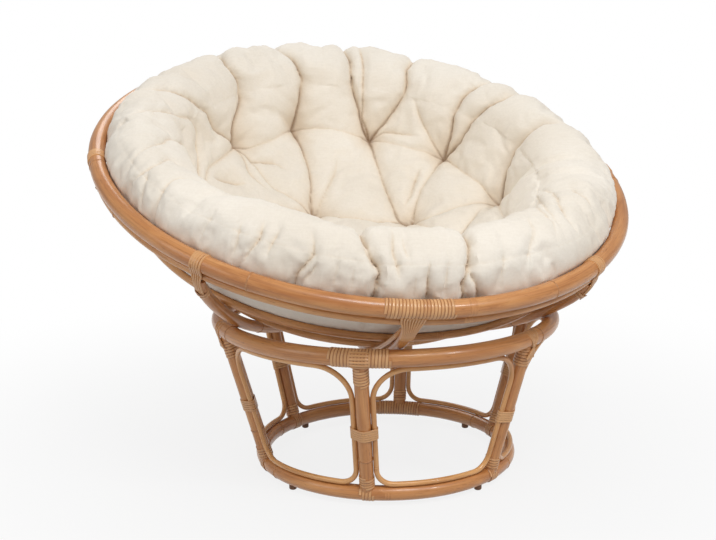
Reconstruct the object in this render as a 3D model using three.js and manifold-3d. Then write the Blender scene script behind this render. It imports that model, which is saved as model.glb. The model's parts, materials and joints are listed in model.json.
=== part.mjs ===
// Papasan chair: a round rattan bowl that rests, tilted, in a drum-shaped rattan base,
// with one thick tufted cushion in the bowl. Millimetres, +Z up, floor at z = 0.
import * as THREE from 'three';
import { mergeVertices } from 'three/addons/utils/BufferGeometryUtils.js';
import Module from 'manifold-3d';

const wasm = await Module();
wasm.setup();

// Fits and cane
const seatGap = 0.3;
const caneThickness = 1.2;
const cutOverrun = 6;

// Base: two horizontal rings, six leaning posts and a thin loop in each bay
const topRingRadius = 323;
const topRingPole = 31;
const bottomRingRadius = 244.5;
const bottomRingPole = 28;
const ringRise = 274;
const postPole = 26;
const loopPole = 10;
const postCount = 6;
const topScarfPost = 0;
const bottomScarfPost = 3;
const firstPostAngle = -7.5;
const loopTopCorner = 56;
const loopBottomCorner = 36;
const postSink = 8;
const postTopWrap = 38;
const postBottomWrap = 27;
const ringScarfWidth = 108;
const bottomScarfWidth = 100;
const midWrapHeight = 23;
const midWrapShare = 0.46;
const glideDiameter = 16;
const glideHeight = 8;
const glideAngles = [45, 135, 225, 315];

// Bowl: rim, a thin ring tied under it, four hoops and eight ribs outside them
const rimRadius = 520;
const rimPole = 32;
const underRimPole = 14;
const hoopPole = 14;
const ribPole = 22;
const sphereDrop = 304;
const ribStandOff = 18;
const ribAngles = [-11.8, 33, 79.7, 125.2, 170.8, 216.3, 261.9, 307.4];
const hoopPolarShares = [0.777, 0.565, 0.335, 0.142];
const ribInnerPolar = 6;
const rimWrapWidth = 30;
const rimScarfWidth = 122;
const rimScarfShift = 10;
const ribNeckWrap = 20;
const restTilt = 21.4;
const restHeading = 23.4;
const frontHeading = -90;

// Cushion: a thick dish with a gathered roll round its edge
const seatThickness = 112;
const rollPole = 118;
const rollInset = 74;
const rollLift = 22;
const rollFoot = 25;
const outerTuftCount = 10;
const outerTuftRadius = 300;
const outerTuftDepth = 34;
const innerTuftCount = 3;
const innerTuftRadius = 122;
const innerTuftDepth = 32;
const innerTuftAngle = 98;
const tuftSpread = 40;
const pinchDepth = 17;
const pinchSpread = 7.2;
const dishShares = [0.2, 0.4, 0.58, 0.75, 0.88, 1, 1.1];
const rollAngles = [196, 170, 145, 120, 96, 72, 48, 24, 4, -10];
const underPolarShares = [0.905, 0.838, ...hoopPolarShares];

// Facets
const poleSides = 8;
const thinSides = 5;
const hoopSides = 6;
const ringSegments = 42;
const bottomSegments = 36;
const rimSegments = 48;
const hoopSegments = 40;
const hoopPhase = -11.5;
const ribSteps = 10;
const loopRunSteps = [3, 1, 4, 1];
const cornerSteps = 3;
const bandSteps = 3;
const glideSides = 8;

const degrees = Math.PI / 180;
const turn = 2 * Math.PI;
const upward = new THREE.Vector3(0, 0, 1);

// Heights of the base
const bottomRingHeight = glideHeight + bottomRingPole / 2;
const topRingHeight = bottomRingHeight + ringRise;

// The bowl is part of a sphere, so that it can tilt and turn in the ring that carries it
const ribOuterRadius = Math.hypot(rimRadius, sphereDrop) + rimPole / 2 + ribStandOff;
const rimPolar = Math.atan2(rimRadius, sphereDrop) / degrees;
const ribPathRadius = ribOuterRadius - ribPole / 2;
const underRimHeight = -sphereDrop - rimPole / 2 - underRimPole / 2 - seatGap;
const underRimReach = Math.hypot(rimRadius, underRimHeight);
const underRimPolar = Math.atan2(rimRadius, -underRimHeight) / degrees;
const ribOuterPolar = underRimPolar - Math.asin((underRimPole / 2 + seatGap) / underRimReach) / degrees;
const ribStepAngle = (ribOuterPolar - ribInnerPolar) / ribSteps;
const ribSag = ribPathRadius * (1 - Math.cos(ribStepAngle * degrees / 2));
const hoopPathRadius = ribPathRadius - ribPole / 2 - ribSag - seatGap - hoopPole / 2;
const padUnderRadius = hoopPathRadius - hoopPole / 2 - seatGap;
const wrapReach = seatGap + caneThickness;
const ringReach = ribOuterRadius + seatGap + topRingPole / 2;
const ringSag = topRingRadius * (1 - Math.cos(Math.PI / ringSegments));
const sphereHeight = topRingHeight + Math.sqrt(ringReach ** 2 - (topRingRadius - ringSag) ** 2);

// Materials, one for each finish
const rattan = () => new THREE.MeshStandardMaterial({ color: 0xc98f57, roughness: 0.42, metalness: 0 });
const cane = () => new THREE.MeshStandardMaterial({ color: 0xd2a06c, roughness: 0.5, metalness: 0 });
const cotton = () => new THREE.MeshStandardMaterial({ color: 0xebe3d5, roughness: 0.95, metalness: 0 });
const felt = () => new THREE.MeshStandardMaterial({ color: 0x3a2a20, roughness: 0.7, metalness: 0 });

// A tube through frames: each has a point p and two directions u and v that span its section
function tube(frames, diameter, sides, closed) {
  const positions = [];
  const triangles = [];
  const radius = diameter / 2;
  for (const frame of frames) {
    for (let j = 0; j < sides; j += 1) {
      const angle = turn * j / sides;
      const point = frame.p.clone();
      point.addScaledVector(frame.u, radius * Math.cos(angle));
      point.addScaledVector(frame.v, radius * Math.sin(angle));
      positions.push(point.x, point.y, point.z);
    }
  }
  const spans = closed ? frames.length : frames.length - 1;
  for (let i = 0; i < spans; i += 1) {
    const here = i * sides;
    const next = ((i + 1) % frames.length) * sides;
    for (let j = 0; j < sides; j += 1) {
      const k = (j + 1) % sides;
      triangles.push(here + j, here + k, next + j);
      triangles.push(here + k, next + k, next + j);
    }
  }
  if (!closed) {
    const last = (frames.length - 1) * sides;
    for (let j = 1; j < sides - 1; j += 1) {
      triangles.push(0, j + 1, j);
      triangles.push(last, last + j, last + j + 1);
    }
  }
  return shell(positions, triangles);
}

// A mesh from its corners and triangles
function shell(positions, triangles) {
  const geometry = new THREE.BufferGeometry();
  geometry.setAttribute('position', new THREE.Float32BufferAttribute(positions, 3));
  geometry.setIndex(triangles);
  return geometry;
}

// Joins and cuts
function solid(geometry) {
  const bare = geometry.clone();
  bare.deleteAttribute('normal');
  bare.deleteAttribute('uv');
  const merged = mergeVertices(bare);
  const vertProperties = new Float32Array(merged.attributes.position.array);
  const triVerts = new Uint32Array(merged.index.array);
  return new wasm.Manifold(new wasm.Mesh({ numProp: 3, vertProperties, triVerts }));
}

function fromSolid(manifold) {
  const mesh = manifold.getMesh();
  return shell(Array.from(mesh.vertProperties), Array.from(mesh.triVerts));
}

function cut(body, tools) {
  let result = body;
  for (const tool of tools) {
    result = result.subtract(tool);
  }
  return result;
}

function between(a, b, share) {
  const mixed = {};
  for (const key of ['p', 'u', 'v']) {
    mixed[key] = a[key].clone().lerp(b[key], share);
  }
  return mixed;
}

// Frames on a ring's polygon, so that a wrap lies on the same facets as the pole it covers
function ringFrames(radius, height, segments, phase, toward) {
  const step = 360 / segments;
  const corner = (index) => {
    const angle = (phase + index * step) * degrees;
    const out = new THREE.Vector3(Math.cos(angle), Math.sin(angle), 0);
    const p = out.clone().multiplyScalar(radius);
    p.z = height;
    const u = out.clone().multiplyScalar(Math.cos(toward));
    u.addScaledVector(upward, Math.sin(toward));
    const v = out.clone().multiplyScalar(Math.sin(toward));
    v.addScaledVector(upward, -Math.cos(toward));
    return { p, u, v };
  };
  const at = (angle) => {
    const place = (angle - phase) / step;
    const index = Math.floor(place);
    return between(corner(index), corner(index + 1), place - index);
  };
  const whole = () => Array.from({ length: segments }, (_, index) => corner(index));
  const arc = (from, to) => {
    const frames = [at(from)];
    for (let index = Math.floor((from - phase) / step) + 1; phase + index * step < to; index += 1) {
      frames.push(corner(index));
    }
    frames.push(at(to));
    return frames;
  };
  return { whole, arc };
}

// Frames on a straight pole
function straightFrames(from, to, side) {
  const along = to.clone().sub(from).normalize();
  const u = side.clone().addScaledVector(along, -side.dot(along)).normalize();
  const v = along.clone().cross(u);
  return [{ p: from, u, v }, { p: to, u, v }];
}

function mesh(name, geometry, material) {
  const flat = geometry.index ? geometry.toNonIndexed() : geometry;
  flat.computeVertexNormals();
  const piece = new THREE.Mesh(flat, material);
  piece.name = name;
  return piece;
}

const chair = new THREE.Group();
const base = new THREE.Group();
const bowl = new THREE.Group();
chair.add(base, bowl);

// Base rings. The top ring's section points a corner at the sphere centre, where ribs pass
const towardSphere = Math.atan2(sphereHeight - topRingHeight, -topRingRadius);
const topPhase = firstPostAngle + 180 / ringSegments;
const bottomPhase = firstPostAngle + 180 / bottomSegments;
const topFrames = ringFrames(topRingRadius, topRingHeight, ringSegments, topPhase, towardSphere);
const bottomFrames = ringFrames(bottomRingRadius, bottomRingHeight, bottomSegments, bottomPhase, 0);
const topRing = tube(topFrames.whole(), topRingPole, poleSides, true);
const bottomRing = tube(bottomFrames.whole(), bottomRingPole, poleSides, true);
const topRingRoom = solid(tube(topFrames.whole(), topRingPole + 2 * seatGap, poleSides, true));
const bottomRingRoom = solid(tube(bottomFrames.whole(), bottomRingPole + 2 * seatGap, poleSides, true));
base.add(mesh('base_top_ring', topRing, rattan()));
base.add(mesh('base_bottom_ring', bottomRing, rattan()));

// The cone that the posts and loops lie on
const slant = Math.hypot(topRingRadius - bottomRingRadius, ringRise);
const conePoint = (angle, along) => {
  const share = along / slant;
  const radius = THREE.MathUtils.lerp(bottomRingRadius, topRingRadius, share);
  const height = THREE.MathUtils.lerp(bottomRingHeight, topRingHeight, share);
  return new THREE.Vector3(radius * Math.cos(angle), radius * Math.sin(angle), height);
};
const coneRadius = (along) => THREE.MathUtils.lerp(bottomRingRadius, topRingRadius, along / slant);
const coneOut = (angle) => {
  const rise = Math.atan2(topRingRadius - bottomRingRadius, ringRise);
  const level = Math.cos(rise);
  return new THREE.Vector3(level * Math.cos(angle), level * Math.sin(angle), -Math.sin(rise));
};

// A bay's loop: a rounded trapezium on the cone, beside two posts and between the rings
const bayAngle = turn / postCount;
const sideOffset = postPole / 2 + loopPole / 2 + seatGap;
const loopTop = slant - topRingPole / 2 - loopPole / 2 - seatGap;
const loopBottom = bottomRingPole / 2 + loopPole / 2 + seatGap;
const halfWidth = (along) => coneRadius(along) * (bayAngle / 2 - Math.asin(sideOffset / coneRadius(along)));

function roundedCorner(before, corner, after, radius) {
  const inward = before.clone().sub(corner).normalize();
  const onward = after.clone().sub(corner).normalize();
  const opening = inward.angleTo(onward) / 2;
  const centre = inward.clone().add(onward).normalize().multiplyScalar(radius / Math.sin(opening));
  centre.add(corner);
  const start = corner.clone().addScaledVector(inward, radius / Math.tan(opening)).sub(centre);
  const end = corner.clone().addScaledVector(onward, radius / Math.tan(opening)).sub(centre);
  const sweep = Math.sign(start.cross(end)) * (Math.PI - 2 * opening);
  const points = [];
  for (let i = 0; i <= cornerSteps; i += 1) {
    const point = start.clone().rotateAround(new THREE.Vector2(), sweep * i / cornerSteps);
    points.push(point.add(centre));
  }
  return points;
}

function loopOutline() {
  const wide = halfWidth(loopTop);
  const narrow = halfWidth(loopBottom);
  const corners = [
    { at: new THREE.Vector2(-narrow, loopBottom), radius: loopBottomCorner },
    { at: new THREE.Vector2(narrow, loopBottom), radius: loopBottomCorner },
    { at: new THREE.Vector2(wide, loopTop), radius: loopTopCorner },
    { at: new THREE.Vector2(-wide, loopTop), radius: loopTopCorner },
  ];
  const outline = [];
  corners.forEach((corner, index) => {
    const before = corners[(index + 3) % 4].at;
    const after = corners[(index + 1) % 4];
    const arc = roundedCorner(before, corner.at, after.at, corner.radius);
    outline.push(...arc);
    const following = corners[(index + 2) % 4].at;
    const nextArc = roundedCorner(corner.at, after.at, following, after.radius);
    const runSteps = loopRunSteps[index];
    for (let step = 1; step < runSteps; step += 1) {
      outline.push(arc[cornerSteps].clone().lerp(nextArc[0], step / runSteps));
    }
  });
  return outline;
}

function loopFrames(middle) {
  const points = loopOutline().map((flat) => {
    const angle = middle + flat.x / coneRadius(flat.y);
    return { p: conePoint(angle, flat.y), u: coneOut(angle) };
  });
  return points.map((point, index) => {
    const before = points[(index + points.length - 1) % points.length].p;
    const after = points[(index + 1) % points.length].p;
    const along = after.clone().sub(before).normalize();
    const u = point.u.clone().addScaledVector(along, -point.u.dot(along)).normalize();
    return { p: point.p, u, v: along.clone().cross(u) };
  });
}

// Posts, their cane bindings and the loops, bay by bay
const postIndices = Array.from({ length: postCount }, (_, index) => index);
const postAngles = postIndices.map((index) => firstPostAngle + index * 360 / postCount);
const postEnds = postAngles.map((angle) => ({
  low: conePoint(angle * degrees, 0),
  high: conePoint(angle * degrees, slant),
  out: coneOut(angle * degrees),
}));
const postTube = (index, diameter, from, to) => {
  const ends = postEnds[index];
  const along = ends.high.clone().sub(ends.low).normalize();
  const start = ends.low.clone().addScaledVector(along, from);
  const stop = ends.low.clone().addScaledVector(along, to);
  return solid(tube(straightFrames(start, stop, ends.out), diameter, poleSides, false));
};
const postFoot = bottomRingPole / 2 - postSink;
const postHead = slant - topRingPole / 2 + postSink;
const loops = postAngles.map((angle) => loopFrames((angle + 180 / postCount) * degrees));

postAngles.forEach((angle, index) => {
  const number = index + 1;
  const post = cut(postTube(index, postPole, postFoot, postHead), [topRingRoom, bottomRingRoom]);
  base.add(mesh(`base_post_${number}`, fromSolid(post), rattan()));
  base.add(mesh(`bay_loop_${number}`, tube(loops[index], loopPole, thinSides, true), rattan()));
});

const ringWrap = (frames, angle, width, radius, pole) => {
  const half = width / 2 / radius / degrees;
  return solid(tube(frames.arc(angle - half, angle + half), pole + 2 * wrapReach, poleSides, false));
};

postAngles.forEach((angle, index) => {
  const number = index + 1;
  const before = (index + postCount - 1) % postCount;
  const loopRoom = [loops[before], loops[index]].map(
    (frames) => solid(tube(frames, loopPole + 2 * seatGap, thinSides, true)),
  );
  const postRoom = postTube(index, postPole + 2 * seatGap, -cutOverrun, slant + cutOverrun);
  const rooms = [postRoom, topRingRoom, bottomRingRoom, ...loopRoom];

  const wrapFoot = slant - topRingPole / 2 - postTopWrap;
  let topBinding = postTube(index, postPole + 2 * wrapReach, wrapFoot, postHead);
  if (index === topScarfPost) {
    topBinding = topBinding.add(ringWrap(topFrames, angle, ringScarfWidth, topRingRadius, topRingPole));
  }
  base.add(mesh(`post_top_binding_${number}`, fromSolid(cut(topBinding, rooms)), cane()));

  const wrapHead = bottomRingPole / 2 + postBottomWrap;
  let lowBinding = postTube(index, postPole + 2 * wrapReach, postFoot, wrapHead);
  if (index === bottomScarfPost) {
    lowBinding = lowBinding.add(
      ringWrap(bottomFrames, angle, bottomScarfWidth, bottomRingRadius, bottomRingPole),
    );
  }
  base.add(mesh(`post_bottom_binding_${number}`, fromSolid(cut(lowBinding, rooms)), cane()));

  const band = middleBand(index, slant * midWrapShare - midWrapHeight / 2);
  base.add(mesh(`post_middle_binding_${number}`, band, cane()));
});

// The middle binding goes round the post and the loop on either side of it
function bandOutline(path, reach, depth) {
  const bigRadius = postPole / 2 + reach;
  const smallRadius = loopPole / 2 + reach;
  const lean = Math.acos((bigRadius - smallRadius) / sideOffset);
  path.absarc(sideOffset, -depth, smallRadius, -lean, lean, false);
  path.absarc(0, 0, bigRadius, lean, Math.PI - lean, false);
  path.absarc(-sideOffset, -depth, smallRadius, Math.PI - lean, Math.PI + lean, false);
  path.absarc(0, 0, bigRadius, Math.PI + lean, turn - lean, false);
  return path;
}

function middleBand(index, from) {
  const ends = postEnds[index];
  const along = ends.high.clone().sub(ends.low).normalize();
  const out = ends.out.clone().addScaledVector(along, -ends.out.dot(along)).normalize();
  const side = along.clone().cross(out);
  const radius = coneRadius(from + midWrapHeight / 2);
  const loopDepth = radius - Math.sqrt(radius ** 2 - sideOffset ** 2);
  const outline = bandOutline(new THREE.Shape(), wrapReach, loopDepth);
  outline.holes.push(bandOutline(new THREE.Path(), seatGap, loopDepth));
  const options = { depth: midWrapHeight, bevelEnabled: false, curveSegments: bandSteps };
  const band = new THREE.ExtrudeGeometry(outline, options);
  const place = new THREE.Matrix4().makeBasis(side.clone().negate(), out, along);
  place.setPosition(ends.low.clone().addScaledVector(along, from));
  return band.applyMatrix4(place);
}

// Four glides under the bottom ring
glideAngles.forEach((angle, index) => {
  const glide = new THREE.CylinderGeometry(
    glideDiameter / 2, glideDiameter / 2, bottomRingHeight, glideSides,
  );
  glide.rotateX(Math.PI / 2);
  glide.translate(
    bottomRingRadius * Math.cos(angle * degrees),
    bottomRingRadius * Math.sin(angle * degrees),
    bottomRingHeight / 2,
  );
  base.add(mesh(`foot_glide_${index + 1}`, fromSolid(cut(solid(glide), [bottomRingRoom])), felt()));
});

// Bowl, in its own frame: origin at the sphere centre, +Z along the bowl's axis, +X downhill
const rimToward = Math.atan2(sphereDrop, -rimRadius);
const rimPhase = hoopPhase + 180 / rimSegments;
const rimFrames = ringFrames(rimRadius, -sphereDrop, rimSegments, rimPhase, rimToward);
const underRimFrames = ringFrames(rimRadius, underRimHeight, rimSegments, rimPhase, Math.PI / 2);
const rimRoom = solid(tube(rimFrames.whole(), rimPole + 2 * seatGap, poleSides, true));
const underRimRoom = solid(tube(underRimFrames.whole(), underRimPole + 2 * seatGap, thinSides, true));
bowl.add(mesh('rim', tube(rimFrames.whole(), rimPole, poleSides, true), rattan()));
bowl.add(mesh('under_rim_ring', tube(underRimFrames.whole(), underRimPole, thinSides, true), rattan()));

const hoopNames = ['upper_hoop', 'middle_hoop', 'lower_hoop', 'centre_hoop'];
hoopPolarShares.forEach((share, index) => {
  const polar = rimPolar * share * degrees;
  const radius = hoopPathRadius * Math.sin(polar);
  const height = -hoopPathRadius * Math.cos(polar);
  const toward = Math.atan2(-height, -radius);
  const frames = ringFrames(radius, height, hoopSegments, hoopPhase, toward);
  bowl.add(mesh(hoopNames[index], tube(frames.whole(), hoopPole, hoopSides, true), rattan()));
});

const ribFrame = (angle, polar) => {
  const outward = new THREE.Vector3(Math.cos(angle), Math.sin(angle), 0);
  const u = outward.clone().multiplyScalar(Math.sin(polar)).addScaledVector(upward, -Math.cos(polar));
  const along = outward.clone().multiplyScalar(Math.cos(polar)).addScaledVector(upward, Math.sin(polar));
  return { p: u.clone().multiplyScalar(ribPathRadius), u, v: along.clone().cross(u) };
};

ribAngles.forEach((angle, index) => {
  const frames = Array.from({ length: ribSteps + 1 }, (_, step) => {
    const polar = ribInnerPolar + step * ribStepAngle;
    return ribFrame(angle * degrees, polar * degrees);
  });
  bowl.add(mesh(`bowl_rib_${index + 1}`, tube(frames, ribPole, poleSides, false), rattan()));

  const [nearEnd, end] = frames.slice(-2);
  const lastSpan = end.p.distanceTo(nearEnd.p);
  const pastEnd = between(nearEnd, end, 1 + seatGap / lastSpan);
  const ribRoom = solid(tube([nearEnd, pastEnd], ribPole + 2 * seatGap, poleSides, false));
  const neckStart = between(nearEnd, end, 1 - ribNeckWrap / lastSpan);
  const neckEnd = ribFrame(angle * degrees, rimPolar * degrees);
  const neckSleeve = solid(tube([neckStart, end, neckEnd], ribPole + 2 * wrapReach, poleSides, false));
  const shift = index === 0 ? rimScarfShift / rimRadius / degrees : 0;
  const width = index === 0 ? rimScarfWidth : rimWrapWidth;
  const rimSleeve = ringWrap(rimFrames, angle + shift, width, rimRadius, rimPole);
  const binding = cut(neckSleeve.add(rimSleeve), [rimRoom, underRimRoom, ribRoom]);
  const name = index === 0 ? 'rim_scarf_binding' : `rim_binding_${index}`;
  bowl.add(mesh(name, fromSolid(binding), cane()));
});

// Cushion, in the bowl's frame
function cushionProfile() {
  const points = [];
  const topRadius = padUnderRadius - seatThickness;
  const rollRadius = rollPole / 2;
  const rollCentre = new THREE.Vector2(rimRadius - rollInset, -sphereDrop + rollLift);
  const dishPolar = Math.asin(outerTuftRadius / topRadius);
  for (const share of dishShares) {
    const polar = dishPolar * share;
    points.push({ r: topRadius * Math.sin(polar), z: -topRadius * Math.cos(polar), part: 'dish' });
  }
  for (const angle of rollAngles) {
    const r = rollCentre.x + rollRadius * Math.cos(angle * degrees);
    const z = rollCentre.y + rollRadius * Math.sin(angle * degrees);
    points.push({ r, z, part: 'roll' });
  }
  points.push({ r: rimRadius - rollFoot, z: -sphereDrop, part: 'under' });
  for (const share of underPolarShares) {
    const polar = rimPolar * share * degrees;
    const r = padUnderRadius * Math.sin(polar);
    const z = -padUnderRadius * Math.cos(polar);
    points.push({ r, z, part: 'under' });
  }
  return points;
}

function cushionForm() {
  const profile = cushionProfile();
  const top = -(padUnderRadius - seatThickness);
  const bottom = -padUnderRadius;
  const positions = [0, 0, top];
  const triangles = [];
  for (const point of profile) {
    for (let j = 0; j < hoopSegments; j += 1) {
      const degree = hoopPhase + j * 360 / hoopSegments;
      const drawn = drawIn(point, degree);
      const angle = degree * degrees;
      positions.push(drawn.r * Math.cos(angle), drawn.r * Math.sin(angle), drawn.z);
    }
  }
  positions.push(0, 0, bottom);
  const last = positions.length / 3 - 1;
  const ring = (index) => 1 + index * hoopSegments;
  for (let j = 0; j < hoopSegments; j += 1) {
    const k = (j + 1) % hoopSegments;
    triangles.push(0, ring(0) + j, ring(0) + k);
    for (let i = 0; i < profile.length - 1; i += 1) {
      triangles.push(ring(i) + j, ring(i + 1) + j, ring(i) + k);
      triangles.push(ring(i) + k, ring(i + 1) + j, ring(i + 1) + k);
    }
    triangles.push(ring(profile.length - 1) + j, last, ring(profile.length - 1) + k);
  }
  return shell(positions, triangles);
}

// How far the tufts and the gathers on the roll draw the cover in
function drawIn(point, degree) {
  if (point.part === 'under') {
    return point;
  }
  const outerStep = 360 / outerTuftCount;
  const nearest = Math.abs(THREE.MathUtils.euclideanModulo(degree - hoopPhase, outerStep) - outerStep / 2);
  const gather = Math.exp(-((nearest / pinchSpread) ** 2));
  if (point.part === 'roll') {
    const centreR = rimRadius - rollInset;
    const centreZ = -sphereDrop + rollLift;
    const scale = 1 - pinchDepth * gather / (rollPole / 2);
    return { r: centreR + (point.r - centreR) * scale, z: centreZ + (point.z - centreZ) * scale };
  }
  const away = Math.hypot(point.r - outerTuftRadius, outerTuftRadius * nearest * degrees);
  let depth = outerTuftDepth * Math.exp(-((away / tuftSpread) ** 2));
  for (let i = 0; i < innerTuftCount; i += 1) {
    const tuftAngle = (innerTuftAngle + i * 360 / innerTuftCount) * degrees;
    const x = point.r * Math.cos(degree * degrees) - innerTuftRadius * Math.cos(tuftAngle);
    const y = point.r * Math.sin(degree * degrees) - innerTuftRadius * Math.sin(tuftAngle);
    depth += innerTuftDepth * Math.exp(-((Math.hypot(x, y) / tuftSpread) ** 2));
  }
  const scale = 1 + depth / Math.hypot(point.r, point.z);
  return { r: point.r * scale, z: point.z * scale };
}

bowl.add(mesh('cushion', cushionForm(), cotton()));

// Headings are measured from the chair's front, -Y, towards +X
base.rotation.z = frontHeading * degrees;
bowl.position.set(0, 0, sphereHeight);
bowl.rotation.set(0, restTilt * degrees, (frontHeading + restHeading) * degrees, 'ZYX');

// The origin lies on the floor under the middle of the whole chair
chair.updateMatrixWorld(true);
const extent = new THREE.Box3().setFromObject(chair, true);
const middle = extent.getCenter(new THREE.Vector3());
chair.position.set(-middle.x, -middle.y, 0);

export default chair;
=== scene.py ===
# Papasan chair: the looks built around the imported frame. Metres, +Z up, the floor at z = 0.
import json
import math

import bpy
import numpy as np
from mathutils import Matrix, Vector, noise


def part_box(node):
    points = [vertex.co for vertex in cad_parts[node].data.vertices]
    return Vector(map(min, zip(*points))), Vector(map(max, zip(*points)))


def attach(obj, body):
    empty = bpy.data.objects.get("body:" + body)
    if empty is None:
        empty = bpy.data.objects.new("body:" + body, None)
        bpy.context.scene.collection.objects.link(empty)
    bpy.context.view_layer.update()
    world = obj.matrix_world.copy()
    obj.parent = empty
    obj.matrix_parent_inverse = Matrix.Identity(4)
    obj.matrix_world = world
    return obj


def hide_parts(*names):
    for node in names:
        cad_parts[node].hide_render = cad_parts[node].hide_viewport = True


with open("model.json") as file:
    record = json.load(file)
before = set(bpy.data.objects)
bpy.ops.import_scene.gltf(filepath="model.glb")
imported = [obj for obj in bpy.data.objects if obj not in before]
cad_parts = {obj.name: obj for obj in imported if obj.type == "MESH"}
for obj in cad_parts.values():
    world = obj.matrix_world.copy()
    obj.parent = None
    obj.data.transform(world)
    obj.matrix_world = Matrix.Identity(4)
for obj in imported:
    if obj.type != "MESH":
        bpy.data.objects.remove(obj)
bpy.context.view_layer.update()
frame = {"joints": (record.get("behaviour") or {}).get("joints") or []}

# noise_vector takes its offsets from the clock unless a seed is set
SEED = 11
noise.seed_set(SEED)

# Sizes, as the frame has them. GAP is the room that the frame keeps between pieces that touch
TOP_RING, TOP_POLE = 0.323, 0.031
BOTTOM_RING, BOTTOM_POLE = 0.2445, 0.028
BOTTOM_HEIGHT, TOP_HEIGHT = 0.022, 0.296
POST_POLE, LOOP_POLE = 0.026, 0.010
POST_ANGLES = [-7.5 + 60 * k for k in range(6)]
RIM, RIM_POLE, RIM_DROP = 0.520, 0.032, 0.304
UNDER_RIM_POLE, HOOP_POLE, RIB_POLE = 0.014, 0.014, 0.022
GAP = 0.0003
UNDER_RIM_DROP = RIM_DROP + RIM_POLE / 2 + UNDER_RIM_POLE / 2 + GAP
RIB_PATH, HOOP_PATH = 0.62534, 0.60642
RIM_POLAR = math.degrees(math.atan2(RIM, RIM_DROP))
HOOP_POLARS = [RIM_POLAR * share for share in (0.777, 0.565, 0.335, 0.142)]
RIB_ANGLES = [-11.8, 33, 79.7, 125.2, 170.8, 216.3, 261.9, 307.4]
RIB_START, RIB_END = 6.0, 57.13
CANE_WIDTH, CANE_THICK = 0.0056, 0.0020
BOWL_TURN, BOWL_TILT = 23.4, 21.4

# Where the base and the bowl stand
low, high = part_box("base_bottom_ring")
AXIS = Vector(((low.x + high.x) / 2, (low.y + high.y) / 2, 0))
BASE = Matrix.Translation(AXIS) @ Matrix.Rotation(math.radians(-90), 4, "Z")
tilt = [j for j in frame["joints"] if j["name"] == "bowl_tilt"][0]
BOWL = (
    Matrix.Translation(Vector(tilt["pos_m"]))
    @ Matrix.Rotation(math.radians(-90 + BOWL_TURN), 4, "Z")
    @ Matrix.Rotation(math.radians(BOWL_TILT), 4, "Y")
)


# Finishes
WHITE = (1, 1, 1)


def new_material(name):
    material = bpy.data.materials.new(name)
    material.use_nodes = True
    tree = material.node_tree
    return material, tree, tree.nodes["Principled BSDF"]


def dial(made, **values):
    """Sets a node's sockets, named with _ for a space, and its settings."""
    for key, value in values.items():
        socket = key.replace("_", " ")
        if socket in made.inputs:
            made.inputs[socket].default_value = value
        else:
            setattr(made, key, value)


def node(tree, kind, **values):
    made = tree.nodes.new(kind)
    dial(made, **values)
    return made


def link_all(tree, sources, target):
    """Links sources to the first sockets of a node, in order, and returns its first output."""
    for source, socket in zip(sources, target.inputs):
        tree.links.new(source, socket)
    return target.outputs[0]


def ramp(tree, factor, stops):
    made = tree.nodes.new("ShaderNodeValToRGB")
    while len(made.color_ramp.elements) < len(stops):
        made.color_ramp.elements.new(0.5)
    for element, (place, colour) in zip(made.color_ramp.elements, stops):
        element.position = place
        element.color = (*colour, 1)
    return link_all(tree, [factor], made)


def mix(tree, factor, first, second, blend="MIX"):
    made = node(tree, "ShaderNodeMix", data_type="RGBA", blend_type=blend)
    for socket, value in zip((made.inputs[0], made.inputs[6], made.inputs[7]), (factor, first, second)):
        if hasattr(value, "links"):
            tree.links.new(value, socket)
        else:
            socket.default_value = value
    return made.outputs[2]


def noise_on(tree, vector, stretch=None, **values):
    """Noise on coordinates, which stretch scales along each axis first."""
    if stretch:
        vector = link_all(tree, [vector], node(tree, "ShaderNodeMapping", Scale=stretch))
    return link_all(tree, [vector], node(tree, "ShaderNodeTexNoise", **values))


def bumped(tree, shader, height, strength, distance):
    bump = node(tree, "ShaderNodeBump", Strength=strength, Distance=distance)
    tree.links.new(height, bump.inputs["Height"])
    tree.links.new(bump.outputs[0], shader.inputs["Normal"])


def pole_finish(name, pale, mid, deep, gloss):
    """Lacquered rattan: fibres that run along the pole, slow changes of tone and small dark flecks."""
    material, tree, shader = new_material(name)
    grain = node(tree, "ShaderNodeAttribute", attribute_name="grain").outputs["Vector"]
    fibres = noise_on(tree, grain, (9, 420, 420), Scale=1.0, Detail=4.0, Roughness=0.6)
    tone = noise_on(tree, grain, (7, 45, 45), Scale=1.0, Detail=3.0, Roughness=0.55, Distortion=0.6)
    flecks = noise_on(tree, grain, (60, 700, 700), Scale=1.0, Detail=1.0)
    body = ramp(tree, tone, [(0.3, deep), (0.52, mid), (0.75, pale)])
    lines = ramp(tree, fibres, [(0.32, (0.62, 0.52, 0.42)), (0.5, WHITE), (0.72, (1.0, 0.97, 0.9))])
    lined = mix(tree, 0.55, body, lines, "MULTIPLY")
    dots = ramp(tree, flecks, [(0.27, (0.5, 0.36, 0.24)), (0.34, WHITE)])
    tree.links.new(mix(tree, 0.6, lined, dots, "MULTIPLY"), shader.inputs["Base Color"])
    rough = node(tree, "ShaderNodeMapRange", To_Min=gloss, To_Max=gloss + 0.2)
    tree.links.new(link_all(tree, [fibres], rough), shader.inputs["Roughness"])
    bumped(tree, shader, fibres, 0.25, 0.0004)
    dial(shader, Coat_Weight=0.35, Coat_Roughness=0.16)
    return material


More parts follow.
